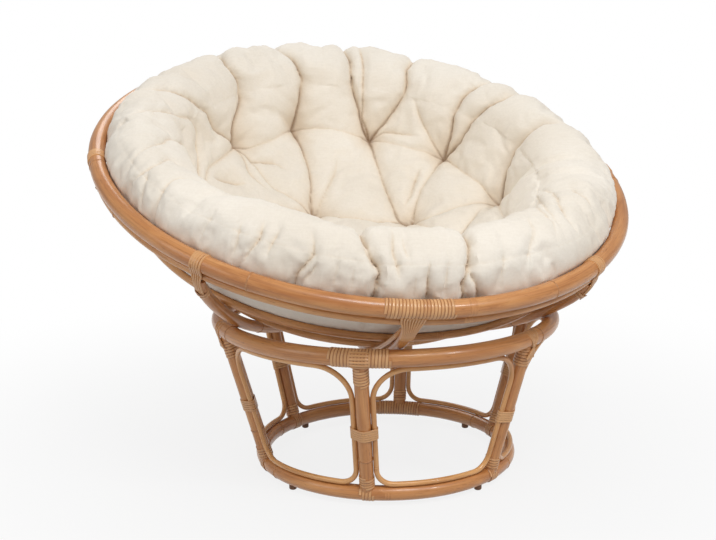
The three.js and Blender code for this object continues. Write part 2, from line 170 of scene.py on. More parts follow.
def cane_finish():
    """Split cane: the pole's finish in a paler tone, with painted shade in the grooves between the turns."""
    pale, mid, deep = (0.78, 0.47, 0.23), (0.68, 0.37, 0.16), (0.55, 0.26, 0.10)
    material = pole_finish("split_cane_lacquer", pale, mid, deep, 0.3)
    tree = material.node_tree
    base = tree.nodes["Principled BSDF"].inputs["Base Color"]
    # Painted shade: the cane darkens towards the groove beside each turn.
    groove = node(tree, "ShaderNodeAttribute", attribute_name="groove")
    shade = ramp(tree, groove.outputs["Fac"], [(0.5, WHITE), (0.95, (0.60, 0.43, 0.30))])
    tree.links.new(mix(tree, 1.0, base.links[0].from_socket, shade, "MULTIPLY"), base)
    return material


def cotton_finish():
    """Undyed cotton canvas: a fine plain weave with slubs, over slow changes of tone, with painted shade in
    its creases, hollows and seam.
    """
    material, tree, shader = new_material("cushion_canvas")
    place = node(tree, "ShaderNodeTexCoord").outputs["Object"]
    weave = noise_on(tree, place, Scale=420.0, Detail=2.0)
    slubs = noise_on(tree, place, (40, 260, 260), Scale=1.0, Detail=3.0)
    cross = noise_on(tree, place, (260, 40, 260), Scale=1.0, Detail=3.0)
    tone = noise_on(tree, place, Scale=5.0, Detail=2.0)
    base = ramp(tree, tone, [(0.3, (0.80, 0.73, 0.63)), (0.7, (0.87, 0.81, 0.72))])
    threads = mix(tree, 0.5, slubs, cross)
    shade = ramp(tree, threads, [(0.35, (0.93, 0.92, 0.90)), (0.6, WHITE)])
    # Painted shade: the cover's colour darkens to a warm brown along its crease lines, in the hollows by the
    # tufts and folds, and along the seam.
    crease = node(tree, "ShaderNodeAttribute", attribute_name="crease").outputs["Fac"]
    painted_crease_shade = ramp(tree, crease, [(0.08, WHITE), (0.42, (0.94, 0.885, 0.82)), (1.0, (0.42, 0.29, 0.19))])
    woven = mix(tree, 0.6, base, shade, "MULTIPLY")
    tree.links.new(mix(tree, 1.0, woven, painted_crease_shade, "MULTIPLY"), shader.inputs["Base Color"])
    bumped(tree, shader, mix(tree, 0.5, threads, weave), 0.35, 0.0006)
    dial(shader, Roughness=0.92, Sheen_Weight=0.12, Sheen_Roughness=0.5)
    return material


def glide_finish():
    """Dark brown plastic with faint scuffs."""
    material, tree, shader = new_material("glide_plastic")
    scuffs = noise_on(tree, node(tree, "ShaderNodeTexCoord").outputs["Object"], Scale=160.0, Detail=4.0)
    browns = ramp(tree, scuffs, [(0.3, (0.12, 0.052, 0.024)), (0.7, (0.20, 0.092, 0.045))])
    tree.links.new(browns, shader.inputs["Base Color"])
    dial(shader, Roughness=0.55)
    return material


RATTAN = pole_finish(
    "rattan_lacquer", (0.69, 0.345, 0.128), (0.585, 0.258, 0.084), (0.45, 0.172, 0.048), 0.28
)
THIN = pole_finish("thin_rattan_lacquer", (0.73, 0.40, 0.17), (0.63, 0.305, 0.112), (0.50, 0.21, 0.066), 0.30)
CANE = cane_finish()
KNOT = pole_finish("rattan_knot", (0.56, 0.28, 0.11), (0.47, 0.21, 0.075), (0.38, 0.15, 0.05), 0.42)
COTTON = cotton_finish()
GLIDE = glide_finish()
LOOP = pole_finish("bay_loop_lacquer", (0.82, 0.465, 0.195), (0.73, 0.375, 0.135), (0.58, 0.26, 0.08), 0.24)


# Making poles
def read_rows(rows, name):
    """A property of three numbers, for each point."""
    flat = np.zeros(len(rows) * 3)
    rows.foreach_get(name, flat)
    return flat.reshape(-1, 3)


def read_points(piece):
    return read_rows(piece.data.vertices, "co")


def write_points(piece, points):
    piece.data.vertices.foreach_set("co", np.ascontiguousarray(points).ravel())
    piece.data.update()


def object_mode():
    bpy.ops.object.mode_set(mode="OBJECT")


def clear():
    bpy.ops.object.select_all(action="DESELECT")


def only(piece):
    if bpy.context.mode != "OBJECT":
        object_mode()
    clear()
    piece.select_set(True)
    bpy.context.view_layer.objects.active = piece


def edit_all(piece):
    only(piece)
    bpy.ops.object.mode_set(mode="EDIT")
    bpy.ops.mesh.select_all(action="SELECT")


def close_up(piece):
    """Ends closed, doubles merged and faces turned outwards."""
    edit_all(piece)
    bpy.ops.mesh.remove_doubles(threshold=1e-5)
    bpy.ops.mesh.fill_holes(sides=0)
    bpy.ops.mesh.normals_make_consistent(inside=False)
    object_mode()


def settle():
    """Puts the new piece's place, turn and scale into its mesh."""
    bpy.ops.object.transform_apply(location=True, rotation=True, scale=True)


def set_down(piece, place):
    """Moves a piece to its place, and puts the place into its mesh."""
    only(piece)
    piece.matrix_world = place
    settle()


def draw_up(height):
    """Extrudes the selected edges upwards."""
    bpy.ops.mesh.extrude_edges_move(TRANSFORM_OT_translate={"value": (0, 0, height)})


def set_all(target, **settings):
    for key, value in settings.items():
        setattr(target, key, value)


def apply_modifier(piece, kind, **settings):
    """Adds a modifier with its settings, and applies it."""
    added = piece.modifiers.new(kind.lower(), kind)
    set_all(added, **settings)
    only(piece)
    bpy.ops.object.modifier_apply(modifier=added.name)


MODELS = {}


def copy_of(make, *sizes):
    """What repeats is modelled once, laid aside and copied, each copy with a mesh of its own."""
    key = (make.__name__, *sizes)
    if key not in MODELS:
        MODELS[key] = make(*sizes)
    twin = MODELS[key].copy()
    twin.data = twin.data.copy()
    bpy.context.scene.collection.objects.link(twin)
    return twin


def spun_pole(radius, height, pole, steps, sides=20, angle=math.tau, start=0.0):
    """A round section spun about the upright axis, from the heading start."""
    clear()
    bpy.ops.mesh.primitive_circle_add(
        vertices=sides, radius=pole / 2, location=(radius, 0, height), rotation=(math.pi / 2, 0, 0)
    )
    piece = bpy.context.object
    settle()
    edit_all(piece)
    bpy.ops.mesh.spin(steps=steps, angle=angle, center=(0, 0, 0), axis=(0, 0, -1))
    close_up(piece)
    set_down(piece, Matrix.Rotation(start, 4, "Z"))
    return piece


# A knot's ridge: how far it stands in the pole, and its own radius and stretch along the pole
RIDGE_SUNK, RIDGE_RADIUS, RIDGE_STRETCH = 0.0004, 0.0013, 1.5


def ridge(pole):
    """A low ridge that goes round a pole at a knot."""
    clear()
    bpy.ops.mesh.primitive_torus_add(
        major_radius=pole / 2 - RIDGE_SUNK, minor_radius=RIDGE_RADIUS, major_segments=28, minor_segments=8
    )
    piece = bpy.context.object
    piece.scale = (1, 1, RIDGE_STRETCH)
    settle()
    lay_grain(piece, np.array([(0, 0, -0.01), (0, 0, 0), (0, 0, 0.01)]))
    piece.data.materials.append(KNOT)
    return piece


def knot(pole, place):
    """A ridge round a pole, square to the upright axis of place."""
    piece = copy_of(ridge, pole)
    set_down(piece, place)
    return piece


def on_ring(radius, height, heading):
    """A place on a ring with its upright axis along the ring."""
    return (
        Matrix.Rotation(math.radians(heading), 4, "Z")
        @ Matrix.Translation((radius, 0, height))
        @ Matrix.Rotation(-math.pi / 2, 4, "X")
    )


def ring_path(radius, height, count=360, first=0.0, sweep=360.0):
    """Points along a ring or an arc, in degrees."""
    turns = np.radians(first + sweep * np.arange(count + 1) / count)
    return np.stack([radius * np.cos(turns), radius * np.sin(turns), np.full_like(turns, height)], 1)


def length_along(path):
    """How far along a path each of its points is."""
    return np.concatenate([[0], np.cumsum(np.linalg.norm(np.diff(path, axis=0), axis=1))])


def lay_grain(piece, path):
    """Stores where each point lies along and across the pole, so that the fibres follow it."""
    points = read_points(piece)
    steps = np.diff(path, axis=0)
    lengths = np.linalg.norm(steps, axis=1)
    along = length_along(path)
    tangents = np.vstack([steps / lengths[:, None], steps[-1:] / lengths[-1]])
    side = np.cross(tangents[0], (0.3, 0.5, 0.8))
    sides = []
    for tangent in tangents:
        side = side - tangent * (side @ tangent)
        side = side / np.linalg.norm(side)
        sides.append(side)
    sides = np.array(sides)
    others = np.cross(tangents, sides)
    grain = np.zeros((len(points), 3))
    for start in range(0, len(points), 2000):
        block = slice(start, start + 2000)
        gaps = ((points[block][:, None, :] - path[None, :, :]) ** 2).sum(2)
        near = gaps.argmin(1)
        away = points[block] - path[near]
        grain[block, 0] = along[near] + (away * tangents[near]).sum(1)
        grain[block, 1] = (away * sides[near]).sum(1)
        grain[block, 2] = (away * others[near]).sum(1)
    store(piece, "grain", grain)


def store(piece, name, values):
    """Stores a number or a vector for each point."""
    kind, key = ("FLOAT", "value") if values.ndim == 1 else ("FLOAT_VECTOR", "vector")
    kept = piece.data.attributes.new(name, kind, "POINT")
    kept.data.foreach_set(key, np.ascontiguousarray(values, dtype=float).ravel())


def own_grain(piece):
    """Shifts the fibres along the pole, by a length that comes from the piece's name."""
    kept = piece.data.attributes["grain"]
    grain = read_rows(kept.data, "vector")
    grain[:, 0] += 0.73 * (sum(ord(letter) for letter in piece.name) % 97)
    kept.data.foreach_set("vector", grain.ravel())


def joined(pieces):
    clear()
    for piece in pieces:
        piece.select_set(True)
    bpy.context.view_layer.objects.active = pieces[0]
    if len(pieces) > 1:
        bpy.ops.object.join()
    return bpy.context.object


RING_UNEVENNESS, RIB_UNEVENNESS = 0.0004, 0.0003


def hand_made(piece, amount):
    """Slow unevenness, as a pole bent by hand has."""
    for vertex in piece.data.vertices:
        vertex.co += noise.noise_vector(vertex.co * 9) * amount


SMOOTH_ANGLE = math.radians(50)


def finish(piece, name, material, body, nodes):
    """Names a piece, gives it its finish and ties it to the frame."""
    piece.name = name
    piece.data.name = name
    if "grain" in piece.data.attributes:
        own_grain(piece)
    if not piece.data.materials:
        piece.data.materials.append(material)
    only(piece)
    bpy.ops.object.shade_smooth_by_angle(angle=SMOOTH_ANGLE)
    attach(piece, body)
    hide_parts(*nodes)
    return piece


def ring_pole(name, node_name, place, body, radius, height, pole, steps, material, knots, sides=20):
    """A whole ring with knots at headings in degrees."""
    piece = spun_pole(radius, height, pole, steps, sides)
    hand_made(piece, RING_UNEVENNESS)
    lay_grain(piece, ring_path(radius, height))
    piece.data.materials.append(material)
    ridges = [knot(pole, on_ring(radius, height, heading)) for heading in knots]
    piece = joined([piece] + ridges)
    set_down(piece, place)
    return finish(piece, name, material, body, [node_name])


# Base rings
ring_pole(
    "top_ring_pole", "base_top_ring", BASE, "base", TOP_RING, TOP_HEIGHT, TOP_POLE, 160, RATTAN,
    [58, 122, 176, 238, 300],
)
ring_pole(
    "bottom_ring_pole", "base_bottom_ring", BASE, "base", BOTTOM_RING, BOTTOM_HEIGHT, BOTTOM_POLE, 140,
    RATTAN, [68, 128, 190, 247, 305],
)

# Bowl rings
ring_pole(
    "rim_pole", "rim", BOWL, "bowl", RIM, -RIM_DROP, RIM_POLE, 220, RATTAN, [18.3, 74, 139, 203, 265.5, 318]
)
ring_pole(
    "under_rim_pole", "under_rim_ring", BOWL, "bowl", RIM, -UNDER_RIM_DROP, UNDER_RIM_POLE, 200, THIN,
    [41, 118, 190, 281], 14,
)
HOOP_NAMES = ["upper_hoop", "middle_hoop", "lower_hoop", "centre_hoop"]
for number, (hoop, polar) in enumerate(zip(HOOP_NAMES, HOOP_POLARS)):
    reach = HOOP_PATH * math.sin(math.radians(polar))
    drop = HOOP_PATH * math.cos(math.radians(polar))
    knots = [56 + 31 * number, 172, 301 - 17 * number]
    ring_pole(f"{hoop}_pole", hoop, BOWL, "bowl", reach, -drop, HOOP_POLE, 180 - 34 * number, THIN, knots, 14)


# Ribs: a section spun about the sphere's centre, then stood upright at the rib's heading
RIB_STAND = Matrix(((0, 1, 0), (0, 0, -1), (-1, 0, 0))).to_4x4()
# The head is thinned over its last degrees, by a share of its thickness, and flared by a share of its width
PARED_SPAN, PARED_SHARE, HEAD_FLARE = 5, 0.42, 0.16


def pare_head(piece):
    """Thins a rib's outer side near its head, and flares it a little, where it tucks under the rim."""
    points = read_points(piece)
    polar = np.degrees(np.arctan2(points[:, 1], points[:, 0]))
    reach = np.hypot(points[:, 0], points[:, 1])
    share = np.clip((polar - RIB_END + PARED_SPAN) / PARED_SPAN, 0, 1) ** 1.5
    inside = RIB_PATH - RIB_POLE / 2
    pared = inside + (reach - inside) * (1 - PARED_SHARE * share)
    points[:, 0] *= pared / reach
    points[:, 1] *= pared / reach
    points[:, 2] *= 1 + HEAD_FLARE * share
    write_points(piece, points)


def bent_rib():
    """One rib, bent on the sphere from its hidden end up to its head."""
    sweep = RIB_END - RIB_START
    piece = spun_pole(RIB_PATH, 0, RIB_POLE, 70, 20, math.radians(sweep), math.radians(RIB_START))
    pare_head(piece)
    lay_grain(piece, ring_path(RIB_PATH, 0, 120, RIB_START, sweep))
    piece.data.materials.append(RATTAN)
    return piece


# The short pole beside the front rib: how far from the sphere's centre, how thick, and how it runs
SIDE_REACH, SIDE_POLE = 0.6182, 0.0085
SIDE_POLAR, SIDE_FALL = 56.3, 20.5
SIDE_TURN, SIDE_DRIFT = 0.9, 2.6


def on_sphere(reach, polar, heading):
    """A point at a distance from the sphere's centre, in degrees from straight down and round."""
    low, turn = math.radians(polar), math.radians(heading)
    return Vector((
        reach * math.sin(low) * math.cos(turn), reach * math.sin(low) * math.sin(turn), -reach * math.cos(low)
    ))


def side_pole(heading):
    """The thin pole that leaves the front rib's head on its left and lies along the hoops."""
    points = []
    for share in np.linspace(0, 1, 30):
        turn = heading - SIDE_TURN - SIDE_DRIFT * share
        points.append(on_sphere(SIDE_REACH, SIDE_POLAR - SIDE_FALL * share, turn))
    piece = bent_pole(points, SIDE_POLE, False)
    lay_grain(piece, np.array(points))
    piece.data.materials.append(THIN)
    return piece


def bowl_ribs():
    for number, heading in enumerate(RIB_ANGLES):
        piece = copy_of(bent_rib)
        spots = (19 + 5 * (number % 3), 43 - 4 * (number % 4))
        piece = joined([piece] + [knot(RIB_POLE, on_ring(RIB_PATH, 0, spot)) for spot in spots])
        set_down(piece, Matrix.Rotation(math.radians(heading), 4, "Z") @ RIB_STAND)
        hand_made(piece, RIB_UNEVENNESS)
        if number == 0:
            piece = joined([piece, side_pole(heading)])
        set_down(piece, BOWL)
        finish(piece, f"rib_pole_{number + 1}", RATTAN, "bowl", [f"bowl_rib_{number + 1}"])


# Posts
def cone_point(heading, along):
    """A point on the cone of the posts: along runs from 0 at the bottom ring to 1 at the top one."""
    radius = BOTTOM_RING + (TOP_RING - BOTTOM_RING) * along
    height = BOTTOM_HEIGHT + (TOP_HEIGHT - BOTTOM_HEIGHT) * along
    turn = math.radians(heading)
    return Vector((radius * math.cos(turn), radius * math.sin(turn), height))


SLANT = math.hypot(TOP_RING - BOTTOM_RING, TOP_HEIGHT - BOTTOM_HEIGHT)


def post_place(heading, distance):
    """A place on a post's axis, distance up it from the bottom ring, with its upright axis along the post."""
    foot, head = cone_point(heading, 0), cone_point(heading, 1)
    up = (head - foot).normalized()
    turn = math.radians(heading)
    side = Vector((-math.sin(turn), math.cos(turn), 0))
    out = side.cross(up)
    matrix = Matrix((out, side, up)).transposed().to_4x4()
    matrix.translation = foot + up * distance
    return matrix


def drawn_pole(pole, start, stop, sides=20, spans=14):
    """A round section drawn upwards from start to stop in equal spans, swelling a little on the way."""
    clear()
    bpy.ops.mesh.primitive_circle_add(vertices=sides, radius=pole / 2, location=(0, 0, start))
    piece = bpy.context.object
    settle()
    edit_all(piece)
    for span in range(spans):
        draw_up((stop - start) / spans)
        swell = 1 + 0.012 * math.sin(2.2 * span + start * 40)
        bpy.ops.transform.resize(value=(swell, swell, 1))
    close_up(piece)
    return piece


POST_FOOT, POST_HEAD = 0.009, SLANT - 0.010


def post():
    piece = drawn_pole(POST_POLE, POST_FOOT, POST_HEAD)
    lay_grain(piece, np.array([(0, 0, z) for z in np.linspace(0, SLANT, 40)]))
    piece.data.materials.append(RATTAN)
    return piece


for number, heading in enumerate(POST_ANGLES):
    spot = 0.075 + 0.031 * (number * 2 % 5)
    piece = joined([copy_of(post), knot(POST_POLE, Matrix.Translation((0, 0, spot)))])
    set_down(piece, BASE @ post_place(heading, 0))
    finish(piece, f"post_pole_{number + 1}", RATTAN, "base", [f"base_post_{number + 1}"])


# Bay loops: a rounded trapezium of thin rattan that lies on the cone between two posts
def rounded_path(corners, radii, arc_steps=10, run_steps=14):
    """A closed outline with round corners, as flat points."""
    points = []
    for index, corner in enumerate(corners):
        before = (corners[index - 1] - corner).normalized()
        after = (corners[(index + 1) % len(corners)] - corner).normalized()
        opening = before.angle(after) / 2
        centre = corner + (before + after).normalized() * radii[index] / math.sin(opening)
        start = corner + before * radii[index] / math.tan(opening) - centre
        sweep = math.pi - 2 * opening
        for step in range(arc_steps + 1):
            turned = start.copy()
            turned.rotate(Matrix.Rotation(sweep * step / arc_steps, 2))
            points.append(centre + turned)
        following = (index + 1) % len(corners)
        ahead = corners[following]
        back = (corner - ahead).normalized()
        onward = (corners[(following + 1) % len(corners)] - ahead).normalized()
        reach = radii[following] / math.tan(back.angle(onward) / 2)
        goal = ahead + back * reach
        for step in range(1, run_steps):
            points.append(points[-1].lerp(goal, 1 / (run_steps - step + 1)))
    return points


def loop_points(middle):
    """A loop that touches both posts and both rings, as points on the cone."""
    side = POST_POLE / 2 + LOOP_POLE / 2 + GAP
    top = SLANT - TOP_POLE / 2 - LOOP_POLE / 2 - GAP
    bottom = BOTTOM_POLE / 2 + LOOP_POLE / 2 + GAP

    def half(along):
        radius = BOTTOM_RING + (TOP_RING - BOTTOM_RING) * along / SLANT
        return radius * (math.radians(30) - math.asin(side / radius))

    corners = [(-half(bottom), bottom), (half(bottom), bottom), (half(top), top), (-half(top), top)]
    corners = [Vector(corner) for corner in corners]
    flat = rounded_path(corners, [0.036, 0.036, 0.056, 0.056])
    points = []
    for point in flat:
        radius = BOTTOM_RING + (TOP_RING - BOTTOM_RING) * point.y / SLANT
        points.append(cone_point(middle + math.degrees(point.x / radius), point.y / SLANT))
    return points


def bent_pole(points, pole, closed, sides=3):
    """A curve through points with a round section, made into a mesh."""
    clear()
    bpy.ops.curve.primitive_nurbs_path_add()
    piece = bpy.context.object
    curve = piece.data
    curve.splines.clear()
    spline = curve.splines.new("POLY")
    spline.points.add(len(points) - 1)
    for spot, point in zip(spline.points, points):
        spot.co = (*point, 1)
    spline.use_cyclic_u = closed
    curve.dimensions = "3D"
    curve.twist_mode = "MINIMUM"
    curve.bevel_depth = pole / 2
    curve.bevel_resolution = sides
    curve.use_fill_caps = not closed
    bpy.ops.object.convert(target="MESH")
    piece = bpy.context.object
    piece.data.materials.clear()
    close_up(piece)
    return piece


def loop():
    points = loop_points(30)
    piece = bent_pole(points, LOOP_POLE, True)
    lay_grain(piece, np.array([*points, points[0]]))
    return piece


for number, heading in enumerate(POST_ANGLES):
    piece = copy_of(loop)
    set_down(piece, BASE @ Matrix.Rotation(math.radians(heading), 4, "Z"))
    finish(piece, f"loop_pole_{number + 1}", LOOP, "base", [f"bay_loop_{number + 1}"])

bowl_ribs()


# Cane windings
TURN_STEPS, TURN_GAP, CANE_SUNK = 28, 0.0002, 0.0006
# How much of the groove's shade a single strand takes, and the strands' thicknesses
STRAND_GROOVE = 0.35
RIB_STRAND, POST_STRAND, SCARF_STRAND = 0.0044, 0.0040, 0.0046
# Lengths of the windings along their poles
POST_HEAD_TURNS, POST_FOOT_TURNS, RIB_NECK_TURNS = 0.040, 0.027, 0.020
FRONT_SCARF, BACK_SCARF, RING_TURNS = 0.108, 0.100, 0.028
RIM_SCARF, RIM_SCARF_SHIFT, RIM_TURNS = 0.122, 0.010, 0.024


def coil(pole, length):
    """Flat split cane wound round a pole, centred on the origin along the upright axis."""
    turns = max(2, round(length / (CANE_WIDTH + TURN_GAP)))
    pitch = length / turns
    clear()
    bpy.ops.mesh.primitive_circle_add(vertices=10, radius=1, rotation=(math.pi / 2, 0, 0))
    piece = bpy.context.object
    piece.scale = (CANE_THICK / 2, pitch * 0.5, pitch * 0.5)
    settle()
    reach = pole / 2 + CANE_THICK / 2 - CANE_SUNK
    first = -length / 2 + pitch / 2
    edit_all(piece)
    bpy.ops.transform.translate(value=(reach, 0, first))
    object_mode()
    apply_modifier(
        piece, "SCREW", axis="Z", angle=math.tau, screw_offset=pitch, iterations=turns - 1,
        steps=TURN_STEPS, render_steps=TURN_STEPS,
    )
    close_up(piece)
    points = read_points(piece)
    # Mask for the painted shade: how near each point is to the groove between two turns.
    climb = points[:, 2] - first - pitch * (np.arctan2(points[:, 1], points[:, 0]) / math.tau)
    store_groove(piece, np.abs((climb / pitch + 0.5) % 1 - 0.5) * 2)
    angles = np.linspace(0, math.tau * (turns - 1), TURN_STEPS * (turns - 1) + 1)
    heights = first + pitch * angles / math.tau
    lay_grain(piece, np.stack([reach * np.cos(angles), reach * np.sin(angles), heights], 1))
    return piece


def store_groove(piece, share):
    """Stores how near each point is to the groove beside its strand: 0 on the crown, 1 in the groove."""
    store(piece, "groove", share)


def bent_coil(pole, length, radius, height):
    """A coil bent to a ring's curve, at the heading 0."""
    piece = copy_of(coil, pole, length)
    points = read_points(piece)
    turns = points[:, 2] / radius
    away = radius + points[:, 0]
    write_points(piece, np.stack([away * np.cos(turns), away * np.sin(turns), points[:, 1] + height], 1))
    edit_all(piece)
    bpy.ops.mesh.normals_make_consistent(inside=False)
    object_mode()
    return piece


def binding(name, node_name, body, place, parts):
    """Joins the parts of one binding and ties it to the frame. Each part comes with its place."""
    for piece, spot in parts:
        set_down(piece, place @ spot)
    piece = joined([piece for piece, _ in parts])
    return finish(piece, name, CANE, body, [node_name])


def strand(points, thickness):
    """A single strand of cane laid through points, pressed half into what it lies on."""
    smooth = [np.array(point) for point in points]
    for _ in range(3):
        cut = [smooth[0]]
        for first, second in zip(smooth, smooth[1:]):
            cut += [first * 0.75 + second * 0.25, first * 0.25 + second * 0.75]
        smooth = cut + [smooth[-1]]
    piece = bent_pole([Vector(point) for point in smooth], thickness, False, 1)
    store_groove(piece, np.full(len(piece.data.vertices), STRAND_GROOVE))
    lay_grain(piece, np.array(smooth))
    return piece


def laid_strands(count, route, thickness):
    """A row of strands. Each follows the route of its lane, which goes from -1 to 1 across the row."""
    lanes = [(index - (count - 1) / 2) / ((count - 1) / 2) for index in range(count)]
    return joined([strand(route(lane), thickness) for lane in lanes])


def rib_straps():
    """Strands that run over the rim and close in on a rib's head, where turns round its neck hold them."""
    reach = RIM_POLE / 2 + 0.0007

    def route(lane):
        wide, narrow, sink = 0.0098 * lane, 0.0066 * lane, 0.0015 * lane**2
        angles = (2.9, 2.2, 1.5, 0.8, 0.2, -0.35)
        over = [(RIM + reach * math.cos(a), wide, -RIM_DROP + reach * math.sin(a)) for a in angles]
        return over + [
            (RIM + 0.0081, wide * 0.9 + narrow * 0.1, -UNDER_RIM_DROP + 0.004),
            (RIM + 0.0088, wide * 0.6 + narrow * 0.4, -UNDER_RIM_DROP - 0.0018),
            (RIM + 0.0077, narrow, -UNDER_RIM_DROP - 0.009),
            (RIM + 0.0060 - sink, narrow, -UNDER_RIM_DROP - 0.018),
            (RIM + 0.0024 - sink, narrow, -UNDER_RIM_DROP - 0.027),
            (RIM - 0.0012 - sink, narrow, -UNDER_RIM_DROP - 0.035),
            (RIM - 0.0065 - sink, narrow, -UNDER_RIM_DROP - 0.043),
        ]

    return laid_strands(5, route, RIB_STRAND)


def head_fan():
    """Strands that leave the scarf's turns, lie over the thin ring and close in on the front rib's head."""

    def route(lane):
        sink = 0.0018 * lane**2
        return [
            (RIM + 0.0135, 0.0200 * lane, -RIM_DROP - 0.0090),
            (RIM + 0.0094, 0.0193 * lane, -UNDER_RIM_DROP + 0.0060),
            (RIM + 0.0083, 0.0172 * lane, -UNDER_RIM_DROP - 0.0010),
            (RIM + 0.0068, 0.0142 * lane, -UNDER_RIM_DROP - 0.0085),
            (RIM + 0.0054 - sink, 0.0118 * lane, -UNDER_RIM_DROP - 0.0180),
            (RIM + 0.0010 - sink, 0.0103 * lane, -UNDER_RIM_DROP - 0.0300),
            (RIM - 0.0032 - sink, 0.0094 * lane, -UNDER_RIM_DROP - 0.0390),
            (RIM - 0.0085 - sink, 0.0088 * lane, -UNDER_RIM_DROP - 0.0450),
        ]

    return laid_strands(9, route, SCARF_STRAND)


def post_straps(count):
    """Strands from a post's head that cross up over the top ring."""
    low = TOP_RING - 0.006 + POST_POLE / 2
    # Angle round the ring, share of the row's width, and how far the strand stands out, in millimetres
    bends = (
        (-0.45, 0.35, 0.6), (0.1, 0.7, 0.6), (0.7, 0.9, 0.4), (1.3, 1, -0.6), (2.0, 1, -1.7), (2.8, 1, -1.9),
    )

    def route(lane):
        points = [
            (low - 0.0015, -0.011 * lane, TOP_HEIGHT - 0.034),
            (low + 0.0035, -0.004 * lane, TOP_HEIGHT - 0.020),
        ]
        for a, share, proud in bends:
            reach = TOP_POLE / 2 + proud / 1000
            side = 0.013 * lane * share
            points.append((TOP_RING + reach * math.cos(a), side, TOP_HEIGHT + reach * math.sin(a)))
        return points

    return laid_strands(count, route, POST_STRAND)


def face_strands():
    """Strands laid flat along the top ring's face over the front post."""
    laid = []
    reach = TOP_POLE / 2 + 0.0012
    for angle in (-0.95, -0.58, -0.22, 0.14, 0.5, 0.86):
        points = []
        for side in (-0.0165, -0.013, -0.006, 0, 0.006, 0.013, 0.0165):
            sunk = 0.003 if abs(side) > 0.016 else 0
            away = TOP_RING + (reach - sunk) * math.cos(angle)
            height = TOP_HEIGHT + (reach - sunk) * math.sin(angle)
            turn = side / TOP_RING
            points.append((away * math.cos(turn), away * math.sin(turn), height))
        laid.append(strand(points, SCARF_STRAND))
    return joined(laid)


FRONT_POST, BACK_POST, LAST_POST = 0, 3, 5


for number, heading in enumerate(POST_ANGLES):
    turned = Matrix.Rotation(math.radians(heading), 4, "Z")
    head, foot = SLANT - TOP_POLE / 2 - 0.019, BOTTOM_POLE / 2 + 0.0135
    parts = [(copy_of(coil, POST_POLE, POST_HEAD_TURNS), post_place(heading, head))]
    if number == FRONT_POST:
        parts.append((bent_coil(TOP_POLE, FRONT_SCARF, TOP_RING, TOP_HEIGHT), turned))
        parts.append((face_strands(), turned))
    else:
        parts.append((copy_of(post_straps, 3 if number == LAST_POST else 6), turned))
    binding(f"top_winding_{number + 1}", f"post_top_binding_{number + 1}", "base", BASE, parts)
    wrap = BACK_SCARF if number == BACK_POST else RING_TURNS
    parts = [
        (copy_of(coil, POST_POLE, POST_FOOT_TURNS), post_place(heading, foot)),
        (copy_of(bent_coil, BOTTOM_POLE, wrap, BOTTOM_RING, BOTTOM_HEIGHT), turned),
    ]
    binding(f"foot_winding_{number + 1}", f"post_bottom_binding_{number + 1}", "base", BASE, parts)


# Middle bindings go round the post and the loop on either side of it
def band_path(reach_post, reach_loop, depth, steps=16):
    """The closed outline of one turn: round a loop, over the post, round the other loop and back."""
    side = POST_POLE / 2 + LOOP_POLE / 2 + GAP
    lean = math.acos((reach_post - reach_loop) / side)
    spans = [
        (-depth, side, reach_loop, -lean, lean),
        (0, 0, reach_post, lean, math.pi - lean),
        (-depth, -side, reach_loop, math.pi - lean, math.pi + lean),
        (0, 0, reach_post, math.pi + lean, math.tau - lean),
    ]
    points = []
    for x, y, reach, start, stop in spans:
        for turn in np.linspace(start, stop, steps):
            points.append((x + reach * math.sin(turn), y + reach * math.cos(turn)))
    return points


MIDDLE_TURNS, MIDDLE_HEIGHT, MIDDLE_SHARE = 5, 0.023, 0.46
MIDDLE_PITCH = MIDDLE_HEIGHT / MIDDLE_TURNS


# How far the band lies off the poles and the loops behind the post, its thickness, edge and share of the pitch
BAND_OFF, LOOPS_BEHIND, BAND_THICK, BAND_EDGE, BAND_SHARE = 0.0009, 0.0012, 0.0016, 0.0007, 0.98


def closed_turn():
    """One turn of cane round a post and the loops beside it: a closed band square to the post."""
    outline = band_path(POST_POLE / 2 + BAND_OFF, LOOP_POLE / 2 + BAND_OFF, LOOPS_BEHIND)
    clear()
    bpy.ops.mesh.primitive_circle_add(vertices=len(outline), radius=1)
    piece = bpy.context.object
    write_points(piece, np.array([(x, y, 0) for x, y in outline]))
    edit_all(piece)
    draw_up(MIDDLE_PITCH * BAND_SHARE)
    object_mode()
    apply_modifier(piece, "SOLIDIFY", thickness=BAND_THICK, offset=0)
    apply_modifier(piece, "BEVEL", width=BAND_EDGE, segments=2, limit_method="ANGLE")
    close_up(piece)
    # Mask for the painted shade: the band's upper and lower edges, where it meets the next turn.
    away = np.abs(read_points(piece)[:, 2] / MIDDLE_PITCH - BAND_SHARE / 2)
    store_groove(piece, np.clip(away * 10 - 3.9, 0, 1))
    ring = np.array([(x, y, MIDDLE_PITCH / 2) for x, y in outline + outline[:1]])
    keep = np.linalg.norm(np.diff(ring, axis=0), axis=1) > 1e-6
    lay_grain(piece, ring[np.concatenate([keep, [True]])])
    return piece


for number, heading in enumerate(POST_ANGLES):
    parts = []
    for turn in range(MIDDLE_TURNS):
        lean = Matrix.Rotation(0.0032 * math.sin(3.1 * turn + number), 4, "X")
        up = SLANT * MIDDLE_SHARE - MIDDLE_HEIGHT / 2 + MIDDLE_PITCH * turn
        parts.append((copy_of(closed_turn), post_place(heading, up) @ lean))
    binding(f"middle_winding_{number + 1}", f"post_middle_binding_{number + 1}", "base", BASE, parts)


# Rim bindings: turns round the rim and turns round the rib's neck, so many degrees below the rib's end
NECK_BELOW = 2.9


def rib_place(heading, polar):
    """A place on a rib's axis, with its upright axis along the rib towards the rim."""
    return Matrix.Rotation(math.radians(heading), 4, "Z") @ RIB_STAND @ on_ring(RIB_PATH, 0, polar)


